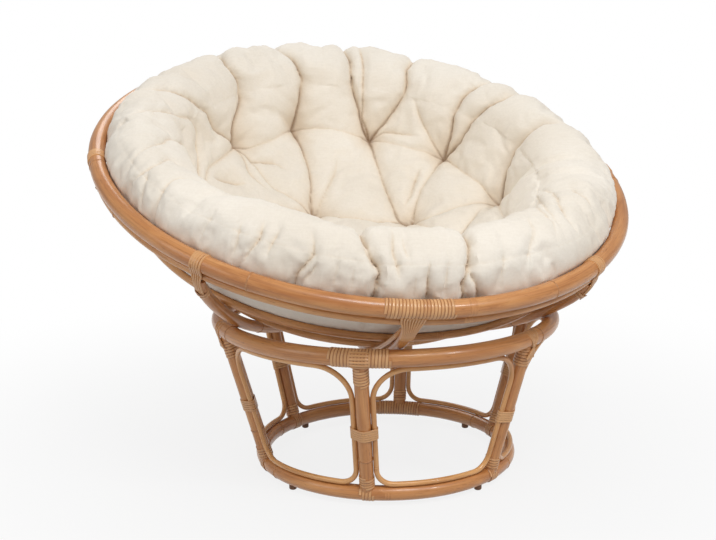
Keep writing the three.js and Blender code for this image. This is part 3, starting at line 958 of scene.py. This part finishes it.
for number, heading in enumerate(RIB_ANGLES):
    turned = Matrix.Rotation(math.radians(heading), 4, "Z")
    if number == 0:
        name = "rim_scarf_binding"
        shifted = Matrix.Rotation(math.radians(heading) + RIM_SCARF_SHIFT / RIM, 4, "Z")
        parts = [(bent_coil(RIM_POLE, RIM_SCARF, RIM, -RIM_DROP), shifted), (head_fan(), turned)]
    else:
        name = f"rim_binding_{number}"
        parts = [
            (copy_of(bent_coil, RIM_POLE, RIM_TURNS, RIM, -RIM_DROP), turned),
            (copy_of(coil, RIB_POLE, RIB_NECK_TURNS), rib_place(heading, RIB_END - NECK_BELOW)),
            (copy_of(rib_straps), turned),
        ]
    binding(f"{name}_winding", name, "bowl", BOWL, parts)


# Glides
GLIDE_RADIUS, GLIDE_HEIGHT, GLIDE_EDGE = 0.0072, 0.011, 0.0030


def glide():
    clear()
    bpy.ops.mesh.primitive_cylinder_add(
        vertices=28, radius=GLIDE_RADIUS, depth=GLIDE_HEIGHT, location=(BOTTOM_RING, 0, GLIDE_HEIGHT / 2)
    )
    piece = bpy.context.object
    settle()
    apply_modifier(piece, "BEVEL", width=GLIDE_EDGE, segments=4)
    return piece


for number in range(4):
    piece = copy_of(glide)
    set_down(piece, BASE @ Matrix.Rotation(math.radians(45 + 90 * number), 4, "Z"))
    finish(piece, f"glide_{number + 1}", GLIDE, "base", [f"foot_glide_{number + 1}"])

for piece in MODELS.values():
    bpy.data.objects.remove(piece)


# Cushion
HOLLOW, UNDERSIDE = 0.48712, 0.59912
ROLL_RING, ROLL_DROP, ROLL_THICK = 0.446, 0.282, 0.118
# Most points below were picked by eye on the photo, and scratch programs turned them into these numbers.
# Tufts: heading in degrees, then distance from the hollow's middle along the section and depth in millimetres
TUFTS = [
    (210, 345, 50), (183.5, 357, 50), (154, 341, 50), (124.5, 345, 50), (89, 328, 48), (42.5, 330, 15),
    (6.5, 330, 40), (330.5, 330, 40), (294.5, 330, 40), (258.5, 330, 40), (189, 143, 44), (112.5, 174, 44),
    (338, 122, 40),
]
# Folds that run out from a tuft over the roll, that tie two tufts, and that stand alone: depth, and points
FANS = [
    (22, [
        (210, 345), (210, 366), (208.5, 390), (203.5, 430), (203.5, 469), (205, 518), (203.5, 585),
        (208, 640),
    ]),
    (22, [(183.5, 357), (182.5, 380), (181, 420), (180, 453), (182, 518), (185.5, 575), (186.5, 640)]),
    (20, [(154, 341), (157, 360), (160, 406), (163, 450), (164, 527), (165.5, 575), (165.5, 640)]),
    (13, [(154, 341), (155, 355), (158, 383), (158.5, 433), (159.5, 496), (161, 569), (161, 610)]),
    (19, [(154, 341), (149, 383), (145.5, 431), (144.5, 460), (146, 511), (145, 575), (146, 640)]),
    (9, [(124.5, 345), (129, 361), (135, 391), (140.5, 434)]),
    (19, [(124.5, 345), (124, 390), (125.5, 432), (125, 474), (123.5, 515), (120.5, 575), (120, 640)]),
    (19, [(124.5, 345), (119.5, 388), (118, 433), (115, 478), (113, 513), (111.5, 578), (108, 640)]),
    (22, [(89, 328), (91.5, 354), (95, 380), (96.5, 427), (95.5, 459), (94.5, 514), (92.5, 565), (88, 640)]),
    (6, [(89, 328), (83.5, 357), (79, 406), (77.5, 453)]),
    (13, [
        (210, 345), (221.5, 391), (224.5, 433), (229.5, 467), (235, 516), (239, 551), (240, 590), (245, 620),
    ]),
    (10, [(258.5, 330), (238.5, 360), (232.5, 408), (236, 449), (248.5, 506), (255, 563), (258.5, 620)]),
    (10, [(258.5, 330), (247.5, 373), (247.5, 415), (262, 480), (269, 507), (275.5, 567), (278, 620)]),
    (24, [
        (330.5, 330), (334, 420), (336.5, 500), (338, 542), (339.5, 579), (341, 601), (341.5, 615),
        (341, 695), (341, 770),
    ]),
    (24, [
        (6.5, 330), (5, 420), (3, 500), (1.5, 550), (0, 593), (359.5, 610), (358.5, 641), (359.5, 695),
        (0, 770),
    ]),
]
TIES = [
    (22, [(183.5, 357), (183, 308), (183, 250), (185, 209), (190, 167), (189, 143)]),
    (15, [(189, 143), (171.5, 111), (128.5, 121), (112.5, 174)]),
    (10, [(210, 345), (207.5, 328), (197.5, 325), (183.5, 357)]),
    (18, [(154, 341), (149, 281), (143, 235), (132, 185), (119.5, 157), (112.5, 174)]),
    (11, [(124.5, 345), (110.5, 327), (100, 328), (92.5, 324), (89, 328)]),
    (10, [(89, 328), (92.5, 290), (96, 248), (100.5, 196), (112.5, 174)]),
    (8, [(183.5, 357), (169.5, 342), (154, 341)]),
    (8, [(154, 341), (136.5, 329), (124.5, 345)]),
    (10, [
        (210, 345), (236.5, 335), (258.5, 330), (276, 322), (294.5, 330), (312, 338), (330.5, 330),
        (348, 338), (6.5, 330),
    ]),
    (8, [(6.5, 330), (24, 338), (42.5, 330), (64.5, 331), (89, 328)]),
    (12, [(338, 122), (246, 54), (189, 143)]),
    (12, [(338, 122), (60.5, 63), (112.5, 174)]),
    (11, [(189, 143), (235, 219), (258.5, 330)]),
    (12, [(338, 122), (310, 230), (294.5, 330)]),
    (12, [(338, 122), (332, 230), (330.5, 330)]),
    (12, [(338, 122), (356, 230), (6.5, 330)]),
    (9, [(112.5, 174), (66, 216), (42.5, 330)]),
    (11, [(189, 143), (212.5, 225), (210, 345)]),
    (13, [(112.5, 174), (116.5, 200), (121, 247), (122, 294), (124.5, 345)]),
]
LONE = [
    (13, [(327, 562), (328, 580), (328.5, 598), (327.5, 618), (326, 645), (325.5, 690)]),
    (9, [(189, 143), (180.5, 173), (170, 231), (168, 268)]),
    (12, [(240.5, 317), (233, 286), (226.5, 257)]),
    (9, [(210, 345), (217.5, 278), (217.5, 218)]),
    (10, [(210, 345), (211, 296), (201, 275), (197.5, 247)]),
    (10, [(122, 190), (123.5, 220), (126.5, 251), (127.5, 291)]),
    (9, [(154, 341), (148.5, 356), (141.5, 357), (136, 360)]),
    (10, [(87, 292), (81, 253), (75.5, 231), (66.5, 211)]),
    (8, [(58, 425), (50, 450), (38, 490), (31.5, 519), (26, 559), (25, 590)]),
    (8, [(53, 440), (44, 460), (38, 478), (30.5, 510), (24, 564), (22, 590)]),
    (10, [(58, 450), (50, 480), (38, 522), (31.5, 556), (29.5, 590)]),
    (8, [(51, 515), (47.5, 533), (45, 564), (43, 580)]),
    (5, [(76, 400), (74.5, 422), (73.5, 476), (72, 500)]),
    (6, [(20, 530), (19, 553), (13.5, 607), (13, 625)]),
    (9, [(280, 480), (278, 516), (282.5, 559), (282.5, 601), (281, 640)]),
    (6, [(283, 579), (286, 610), (287.5, 655)]),
    (8, [(292, 500), (290, 554), (291.5, 610), (292, 665)]),
    (8, [(312, 575), (312.5, 596), (313, 630), (312.5, 650)]),
    (11, [(316, 556), (316.5, 576), (317, 596), (316, 624), (315, 655)]),
    (8, [(320.5, 566), (320, 587), (319.5, 625)]),
    (8, [(329.5, 612), (329, 628), (327, 664)]),
    (9, [(337.5, 548), (338, 564), (339.5, 590), (341.5, 612)]),
    (11, [(344.5, 520), (344, 570), (345, 601), (345.5, 628)]),
    (7, [(346.5, 540), (346.5, 559), (347, 585)]),
    (12, [(351, 600), (351, 621), (351.5, 661), (351.5, 700)]),
    (12, [(359, 600), (0.5, 624), (2, 661), (2.5, 700)]),
    (6, [(22, 518), (15, 589), (14, 625)]),
    (6, [(8, 583), (6.5, 640)]),
    (5, [(333.5, 600), (333, 660)]),
    (5, [(336.5, 606), (336.5, 655)]),
    (5, [(348.5, 612), (348.5, 668)]),
    (5, [(354.5, 600), (355, 670)]),
    (5, [(306, 580), (305, 640)]),
]
SEAM_AT = 0.597
# Fans from FRONT_TUFTS gather the roll. They, and folds from LEFT_TUFT or to LEFT_END, are narrow on it
FRONT_TUFTS = (6.5, 330.5)
LEFT_TUFT, LEFT_END = 258.5, 245
FRONT_ROLL, OTHER_ROLL = 485, 440


def evened(points, rounds):
    """Evens out an open line of points, and keeps its ends."""
    for _ in range(rounds):
        points[1:-1] = (points[:-2] + 2 * points[1:-1] + points[2:]) / 4
    return points


def spread(points, along, even):
    """Points of a line at the distances in even."""
    return np.stack([np.interp(even, along, points[:, 0]), np.interp(even, along, points[:, 1])], 1)


def cushion_section():
    """The section of the plain cushion: points evenly along it, how far along each is, and the way out."""
    hollow = np.radians(np.linspace(0, 38, 30))
    roll = np.radians(np.linspace(200, -14, 44))
    under = np.radians(np.linspace(54.5, 0, 40))
    points = np.concatenate([
        np.stack([HOLLOW * np.sin(hollow), -HOLLOW * np.cos(hollow)], 1),
        np.stack([ROLL_RING + ROLL_THICK / 2 * np.cos(roll), -ROLL_DROP + ROLL_THICK / 2 * np.sin(roll)], 1),
        np.stack([UNDERSIDE * np.sin(under), -UNDERSIDE * np.cos(under)], 1),
    ])
    along = length_along(points)
    line = evened(spread(points, along, np.linspace(0, along[-1], 900)), 60)
    across = np.gradient(line, axis=0)
    out = np.stack([-across[:, 1], across[:, 0]], 1)
    return line, length_along(line), out / np.linalg.norm(out, axis=1)[:, None]


def on_section(section, turn, at):
    """Points of the plain cushion, from headings in degrees and distances along the section."""
    line, along, _ = section
    radius = np.interp(at, along, line[:, 0])
    turns = np.radians(turn)
    return np.stack([radius * np.cos(turns), radius * np.sin(turns), np.interp(at, along, line[:, 1])], 1)


def fold_points(section, corners):
    """Close points along a fold, and the share of its length that each has behind it."""
    flat = np.array([
        (at / 1000 * math.cos(math.radians(turn)), at / 1000 * math.sin(math.radians(turn)))
        for turn, at in corners
    ])
    along = length_along(flat)
    even = np.linspace(0, along[-1], max(4, int(along[-1] / 0.003)))
    x, y = evened(spread(flat, along, even), 6).T
    return on_section(section, np.degrees(np.arctan2(y, x)), np.hypot(x, y)), even / along[-1]


def folds(section):
    """Every fold: its points, how far along it each is, depths, breadths, and whether it gathers the roll."""
    made = []
    for kind, group in (("fan", FANS), ("tie", TIES), ("lone", LONE)):
        for depth, corners in group:
            points, share = fold_points(section, corners)
            if kind == "fan":
                depths = depth * np.clip((1 - share) * 3.2, 0, 1) ** 0.7
            elif kind == "tie":
                depths = depth * (0.62 + 0.38 * (2 * share - 1) ** 2)
            else:
                depths = depth * np.clip(4 * share * (1 - share) + 0.15, 0, 1)
            front = kind == "fan" and corners[0][0] in FRONT_TUFTS
            reach = np.interp(share, [0, 1], [corners[0][1], corners[-1][1]])
            on_roll = np.clip((reach - (FRONT_ROLL if front else OTHER_ROLL)) / 60, 0, 1)
            side = corners[0][0] == LEFT_TUFT or corners[-1][0] == LEFT_END
            broad = 1 - (0.66 if front or side else 0.25 if kind == "fan" else 0.6) * on_roll
            made.append((points, length_along(points), depths / 1000, broad, front))
    return made


# A fold's slopes: their share of its depth, and their reach, which grows with the depth
SLOPE_SHARE, SLOPE_REACH, SLOPE_GROWTH = 1.35, 0.011, 0.6
# The narrow line along it: share and width. Where it gathers: the ruffle, and the pleats' share and fading
LINE_SHARE, LINE_WIDTH, RUFFLE, PLEATS, PLEAT_FADE, PLEAT_START = 0.7, 0.0048, 0.3, 0.10, 0.020, 0.006


def fold_depth(points, made, narrow):
    """How deep the folds pull the cover in at each point: their wide slopes, or the narrow lines in them."""
    total = np.zeros(len(points))
    nearest = np.full(len(points), 1.0)
    for line, along, depth, broad, gathers in made:
        low, high = line.min(0) - 0.12, line.max(0) + 0.12
        near = np.nonzero(((points > low) & (points < high)).all(1))[0]
        most = depth.max()
        for start in range(0, len(near), 4000):
            block = near[start : start + 4000]
            gap = np.linalg.norm(points[block][:, None, :] - line[None, :, :], axis=2)
            closest = gap.argmin(1)
            gap = gap[np.arange(len(block)), closest]
            here = depth[closest]
            nearest[block] = np.minimum(nearest[block], gap)
            if narrow:
                waves = RUFFLE * np.sin(along[closest] * 120 + 60 * gap + 5 * most * 1000)
                ruffle = 1 + waves if gathers else 1.0
                line_depth = LINE_SHARE * here * np.exp(-gap / LINE_WIDTH) * ruffle
                total[block] = np.maximum(total[block], line_depth)
                if gathers:
                    pleats = np.cos(gap * 520 + 9 * most * 1000) * np.exp(-gap / PLEAT_FADE)
                    total[block] += PLEATS * here * (pleats * (1 - np.exp(-gap / PLEAT_START)))
            else:
                wide = (SLOPE_REACH + SLOPE_GROWTH * most) * broad[closest]
                total[block] += (SLOPE_SHARE * here * broad[closest] * np.exp(-gap / wide)) ** 3
    return (total if narrow else total ** (1 / 3)), nearest


def section_spots(section, points):
    """Each point's place along the section, the outward direction there, and its heading."""
    line, along, out = section
    radius = np.hypot(points[:, 0], points[:, 1])
    spots = np.zeros(len(points), int)
    for start in range(0, len(points), 20000):
        block = slice(start, start + 20000)
        across = (radius[block, None] - line[None, ::3, 0]) ** 2
        spots[block] = (across + (points[block, None, 2] - line[None, ::3, 1]) ** 2).argmin(1) * 3
    turn = np.arctan2(points[:, 1], points[:, 0])
    lean = out[spots]
    away = np.stack([lean[:, 0] * np.cos(turn), lean[:, 0] * np.sin(turn), lean[:, 1]], 1)
    return along[spots], away, np.degrees(turn)


# How far the cover stays from the rim's axis and from the thin ring's
RIM_ROOM, UNDER_RIM_ROOM = RIM_POLE / 2 + 0.0022, UNDER_RIM_POLE / 2 + 0.0016


def keep_clear(points):
    """Keeps the cover inside the hoops and off the rim, its windings and the ring tied under it."""
    reach = np.linalg.norm(points, axis=1)
    points *= np.minimum(1, (UNDERSIDE + 0.0005) / reach)[:, None]
    radius = np.hypot(points[:, 0], points[:, 1])
    for drop, room in ((RIM_DROP, RIM_ROOM), (UNDER_RIM_DROP, UNDER_RIM_ROOM)):
        side, lift = radius - RIM, points[:, 2] + drop
        inside = (np.hypot(side, lift) < room) | ((lift < 0.012) & (lift > -0.06) & (side > -room))
        round_it = -np.sqrt(np.maximum(room**2 - np.minimum(lift**2, room**2), 1e-8))
        radius = radius + np.where(inside, np.minimum(round_it, side) - side, 0)
    turn = np.arctan2(points[:, 1], points[:, 0])
    points[:, 0], points[:, 1] = radius * np.cos(turn), radius * np.sin(turn)
    return points


MIDDLE_HOLE, VOXEL = 0.004, 0.010


def plain_cushion(section):
    """Rings drawn along the section, round the bowl's axis, and remeshed evenly."""
    line = section[0]
    clear()
    bpy.ops.mesh.primitive_circle_add(vertices=180, radius=MIDDLE_HOLE, location=(0, 0, line[0, 1]))
    piece = bpy.context.object
    settle()
    edit_all(piece)
    before = (MIDDLE_HOLE, line[0, 1])
    for radius, height in line[10::10]:
        draw_up(height - before[1])
        grow = max(radius, MIDDLE_HOLE) / before[0]
        bpy.ops.transform.resize(value=(grow, grow, 1), center_override=(0, 0, height))
        before = (max(radius, MIDDLE_HOLE), height)
    close_up(piece)
    apply_modifier(piece, "REMESH", mode="VOXEL", voxel_size=VOXEL)
    return piece


def inflate(piece, pinned, frames=16, pressure=4.0, growth=-0.05, cap=0.026):
    """Fills the tufted cover with air over a few frames, held at its tufts and folds."""
    held = piece.vertex_groups.new(name="held")
    levels = np.round(pinned, 1)
    for level in np.unique(levels):
        if level > 0:
            held.add([int(i) for i in np.nonzero(levels == level)[0]], float(level), "REPLACE")
    before = read_points(piece)
    only(piece)
    cloth = piece.modifiers.new("cover", "CLOTH")
    cover = cloth.settings
    set_all(
        cover, quality=4, mass=0.3, tension_stiffness=15, compression_stiffness=15, shear_stiffness=5,
        bending_stiffness=0.4, use_pressure=True, uniform_pressure_force=pressure, shrink_min=growth,
        vertex_group_mass="held", pin_stiffness=1.2,
    )
    cover.effector_weights.gravity = 0
    cloth.collision_settings.use_collision = False
    set_all(cloth.point_cache, frame_start=1, frame_end=frames)
    scene = bpy.context.scene
    for frame_number in range(1, frames + 1):
        scene.frame_set(frame_number)
    bpy.ops.object.modifier_apply(modifier="cover")
    scene.frame_set(1)
    move = read_points(piece) - before
    length = np.linalg.norm(move, axis=1)
    move *= (np.minimum(length, cap) / np.maximum(length, 1e-9))[:, None]
    write_points(piece, before + move)
    piece.vertex_groups.clear()


def plain_points(piece):
    """Where the points were on the plain cushion."""
    return read_rows(piece.data.attributes["plain"].data, "vector")


# The reach of a tuft's dimple, the depth of its ripples, and how fast they start and end away from it
DIMPLE, RIPPLE, RIPPLE_START, RIPPLE_END = 0.030, 0.011, 0.012, 0.05


def tuft_ripples(section, plain):
    """Small folds that fan out from each tuft, how near the closest tuft is, and the dimples at the tufts."""
    ripples, dimples = np.zeros(len(plain)), np.zeros(len(plain))
    closest = np.full(len(plain), 1.0)
    for number, (turn, at, depth) in enumerate(TUFTS):
        centre = on_section(section, np.array([turn]), np.array([at / 1000]))[0]
        side = np.cross(centre / np.linalg.norm(centre), (0, 0, 1.0))
        side /= np.linalg.norm(side)
        other = np.cross(centre / np.linalg.norm(centre), side)
        away = plain - centre
        gap = np.linalg.norm(away, axis=1)
        near = np.nonzero(gap < 0.16)[0]
        around = np.arctan2(away[near] @ other, away[near] @ side)
        waves = np.array([
            noise.noise(Vector((2.4 * math.cos(a), 2.4 * math.sin(a), number * 3.1 + g * 6)))
            for a, g in zip(around, gap[near])
        ])
        fade = np.exp(-gap[near] / RIPPLE_END)
        ripples[near] += RIPPLE * waves * fade * (1 - np.exp(-gap[near] / RIPPLE_START))
        closest = np.minimum(closest, gap)
        dimples = np.maximum(dimples, depth / 1000 * np.exp(-gap / DIMPLE))
    return ripples, closest, dimples


def closer_mesh(piece, near):
    """Halves the faces along the folds, so that their narrow creases come out."""
    edit_all(piece)
    bpy.ops.mesh.select_mode(type="VERT")
    bpy.ops.mesh.select_all(action="DESELECT")
    object_mode()
    piece.data.vertices.foreach_set("select", near)
    bpy.ops.object.mode_set(mode="EDIT")
    bpy.ops.mesh.select_mode(type="FACE")
    bpy.ops.mesh.subdivide(number_cuts=1)
    object_mode()


# Depths in metres of what shapes the cover, and where along the section it ends
LUMP, SEAM, GATHER, VALLEY = 0.004, 0.0011, 0.0021, 0.0024
PULL_END, PULL_FADE, CREASE_END, CREASE_FADE = 0.79, 0.07, 0.80, 0.06
# Where the roll starts, how far the filling may push the dish past its plain form, and the roll less than that
ROLL_AT, ROLL_FADE, DISH_ROOM, ROLL_LESS = 0.50, 0.06, 0.013, 0.010


def hump(value, middle, width):
    """1 in the middle, and falling away on both sides of it."""
    return np.exp(-(((value - middle) / width) ** 2))


def step_up(value, start, span):
    """0 up to start, and 1 from start plus span on."""
    return np.clip((value - start) / span, 0, 1)


def fill(at, turn):
    """How far the filling rounds out the dish beside the roll, and lifts the roll at the front."""
    side = (turn - 56 + 180) % 360 - 180
    front = (turn - 350 + 180) % 360 - 180
    extra = 0.016 * hump(side, 0, 24) * hump(at, 0.40, 0.055)
    extra += 0.022 * np.clip((54 - np.abs(front)) / 18, 0, 1) * hump(at, 0.500, 0.05)
    return 0.030 * hump(at, 0.438, 0.048) + extra


def wandering(turn, at, across, along, layer):
    """Slow noise over the cover, by heading in degrees and distance along the section."""
    return np.array([noise.noise(Vector((t * across, a * along, layer))) for t, a in zip(turn, at)])


def tufted_cushion():
    """The plain cushion pulled in at its tufts and folds, filled, and then creased."""
    section = cushion_section()
    made = folds(section)
    piece = plain_cushion(section)
    plain = read_points(piece)
    store(piece, "plain", plain)
    at, away, turn = section_spots(section, plain)
    depth, nearest = fold_depth(plain, made, False)
    ripples, gap, dimples = tuft_ripples(section, plain)
    upper = np.clip((PULL_END - at) / PULL_FADE, 0, 1)
    depth = (depth**2 + dimples**2) ** 0.5
    lumps = np.array([noise.noise(Vector(p) * 9) for p in plain])
    depth += ripples + LUMP * lumps + LUMP - fill(at, turn)
    write_points(piece, plain - away * (depth * upper)[:, None])
    hold = np.clip(1.25 - np.minimum(nearest, gap) / 0.008, 0, 1) * (depth > 0.005) * upper
    inflate(piece, np.maximum(hold, step_up(at, 0.78, 0.03)))
    apply_modifier(piece, "SUBSURF", levels=1, render_levels=1)
    plain = plain_points(piece)
    closer_mesh(piece, (fold_depth(plain, made, True)[1] < 0.011) & (plain[:, 2] > -0.45))

    plain = plain_points(piece)
    piece.data.attributes.remove(piece.data.attributes["plain"])
    at, away, turn = section_spots(section, plain)
    points = read_points(piece)
    lift = ((points - plain) * away).sum(1)
    on_roll = step_up(at, ROLL_AT, ROLL_FADE)
    room = DISH_ROOM - ROLL_LESS * on_roll + fill(at, turn)
    points -= away * np.where(lift > 0, lift - room * np.tanh(np.maximum(lift, 0) / room), 0)[:, None]
    lines, nearest = fold_depth(plain, made, True)
    lower = np.clip((CREASE_END - at) / CREASE_FADE, 0, 1)
    gathers = wandering(turn, at, 0.55, 8.0, 3.7) + 0.6 * wandering(turn, at, 1.2, 13.0, 9.1)
    roll = step_up(at, 0.36, 0.16) * lower
    seam = SEAM * hump(at, SEAM_AT, 0.003)
    patches = np.clip(wandering(turn, at, 0.05, 5.0, 2.3) * 2.4 + 0.35, 0, 1)
    valleys = hump(wandering(turn, at, 0.21, 3.2, 21.3), 0, 0.055) * patches * on_roll * lower
    inward = lines * lower + seam + GATHER * gathers * roll + VALLEY * valleys
    # Painted shade, stored for the cover's colour: the hollows of the tufts and folds, the narrow crease
    # lines, the seam and the valleys on the roll.
    tufts = tuft_ripples(section, plain)[2]
    hollows = np.clip((fold_depth(plain, made, False)[0] + tufts) / 0.05, 0, 1) * lower
    core = np.clip(lines / 0.007, 0, 1) * hump(nearest, 0, 0.0034) * lower
    crease = 0.4 * hollows + 0.55 * core + 0.15 * np.clip(seam / 0.001, 0, 1) + 0.12 * valleys
    store(piece, "crease", np.clip(crease, 0, 1))
    write_points(piece, keep_clear(points - away * inward[:, None]))
    return piece


cushion = tufted_cushion()
set_down(cushion, BOWL)
finish(cushion, "cushion_cover", COTTON, "cushion", ["cushion"])


# Floor, light and camera
def seen_by(tree, *kinds):
    """1 for rays of two kinds, and 0 for all others."""
    rays = node(tree, "ShaderNodeLightPath")
    either = node(tree, "ShaderNodeMath", operation="MAXIMUM")
    return link_all(tree, [rays.outputs[kind] for kind in kinds], either)


def blended(tree, share, first, second, output):
    """Sends a mix of two shaders to the output."""
    mixed = link_all(tree, [share, first.outputs[0], second.outputs[0]], node(tree, "ShaderNodeMixShader"))
    tree.links.new(mixed, tree.nodes[output].inputs["Surface"])


def lamp(name, place, aim, size, power):
    light = bpy.data.lights.new(name, "AREA")
    set_all(light, shape="DISK", size=size, energy=power)
    holder = bpy.data.objects.new(name, light)
    bpy.context.scene.collection.objects.link(holder)
    holder.location = place
    holder.rotation_mode = "QUATERNION"
    holder.rotation_quaternion = (Vector(aim) - Vector(place)).to_track_quat("-Z", "Y")


def studio():
    clear()
    bpy.ops.mesh.primitive_circle_add(vertices=96, radius=14, fill_type="NGON", location=(0, 0, 0))
    floor = bpy.context.object
    floor.name = "studio_floor"
    material, tree, shader = new_material("floor_paper")
    dial(shader, Roughness=0.9, Base_Color=(0.50, 0.50, 0.50, 1))
    length = node(tree, "ShaderNodeVectorMath", operation="LENGTH")
    tree.links.new(node(tree, "ShaderNodeTexCoord").outputs["Object"], length.inputs[0])
    fade = node(
        tree, "ShaderNodeMapRange", interpolation_type="SMOOTHSTEP", From_Min=0.15, From_Max=1.5, To_Min=0.84
    )
    tree.links.new(length.outputs["Value"], fade.inputs["Value"])
    seen = seen_by(tree, "Is Camera Ray", "Is Glossy Ray")
    share = link_all(tree, [fade.outputs[0], seen], node(tree, "ShaderNodeMath", operation="MULTIPLY"))
    white = node(tree, "ShaderNodeEmission", Color=(1, 1, 1, 1), Strength=1.0)
    blended(tree, share, shader, white, "Material Output")
    floor.data.materials.append(material)

    world = bpy.data.worlds.new("studio")
    bpy.context.scene.world = world
    world.use_nodes = True
    tree = world.node_tree
    sky = tree.nodes["Background"]
    dial(sky, Color=(1, 1, 1, 1), Strength=0.465)
    white = node(tree, "ShaderNodeBackground", Color=(1, 1, 1, 1), Strength=1.0)
    blended(tree, seen_by(tree, "Is Camera Ray", "Is Transmission Ray"), sky, white, "World Output")

    lamp("key", (0.9, -2.3, 3.3), (0, 0, 0.45), 1.4, 57)
    lamp("window", (2.2, -2.0, 2.6), (0, 0, 0.45), 0.3, 20)
    lamp("fill", (-2.5, -1.9, 1.7), (0, 0, 0.4), 1.8, 15)
    lamp("back", (-0.6, 2.6, 2.9), (0, 0, 0.5), 1.6, 24)


# The camera that a fit of the rim and the two base rings gave: radians, metres, and pixels of the photo
CAMERA_RISE, CAMERA_YAW, CAMERA_PITCH, CAMERA_ROLL = math.radians(20.2104), -0.0234748, 0.1515456, 0.00715214
CAMERA_DISTANCE, FOCAL_PIXELS = 2.34610705, 1149.9
PHOTO_WIDTH, SENSOR_WIDTH = 716, 36


def photo_camera():
    """A camera at the photo's place, which looks at the bottom ring's centre before it is turned."""
    rise, yaw, pitch = CAMERA_RISE, CAMERA_YAW, CAMERA_PITCH
    data = bpy.data.cameras.new("photo_camera")
    camera = bpy.data.objects.new("photo_camera", data)
    bpy.context.scene.collection.objects.link(camera)
    bpy.context.scene.camera = camera
    data.sensor_width = SENSOR_WIDTH
    data.lens = FOCAL_PIXELS / PHOTO_WIDTH * SENSOR_WIDTH
    away = Vector((0, -CAMERA_DISTANCE * math.cos(rise), CAMERA_DISTANCE * math.sin(rise) + BOTTOM_HEIGHT))
    camera.location = AXIS + away
    ahead = Vector((0, math.cos(rise), -math.sin(rise)))
    right = Vector((1, 0, 0))
    up = right.cross(ahead)
    level = ahead * math.cos(pitch) * math.cos(yaw) + right * math.sin(yaw) * math.cos(pitch)
    ahead = level + up * math.sin(pitch)
    ahead.normalize()
    right = ahead.cross(Vector((0, 0, 1))).normalized()
    up = right.cross(ahead)
    sideways = right * math.cos(CAMERA_ROLL) - up * math.sin(CAMERA_ROLL)
    upright = right * math.sin(CAMERA_ROLL) + up * math.cos(CAMERA_ROLL)
    camera.rotation_mode = "QUATERNION"
    camera.rotation_quaternion = Matrix((sideways, upright, -ahead)).transposed().to_quaternion()


studio()
photo_camera()
bpy.context.scene.view_settings.view_transform = "Standard"
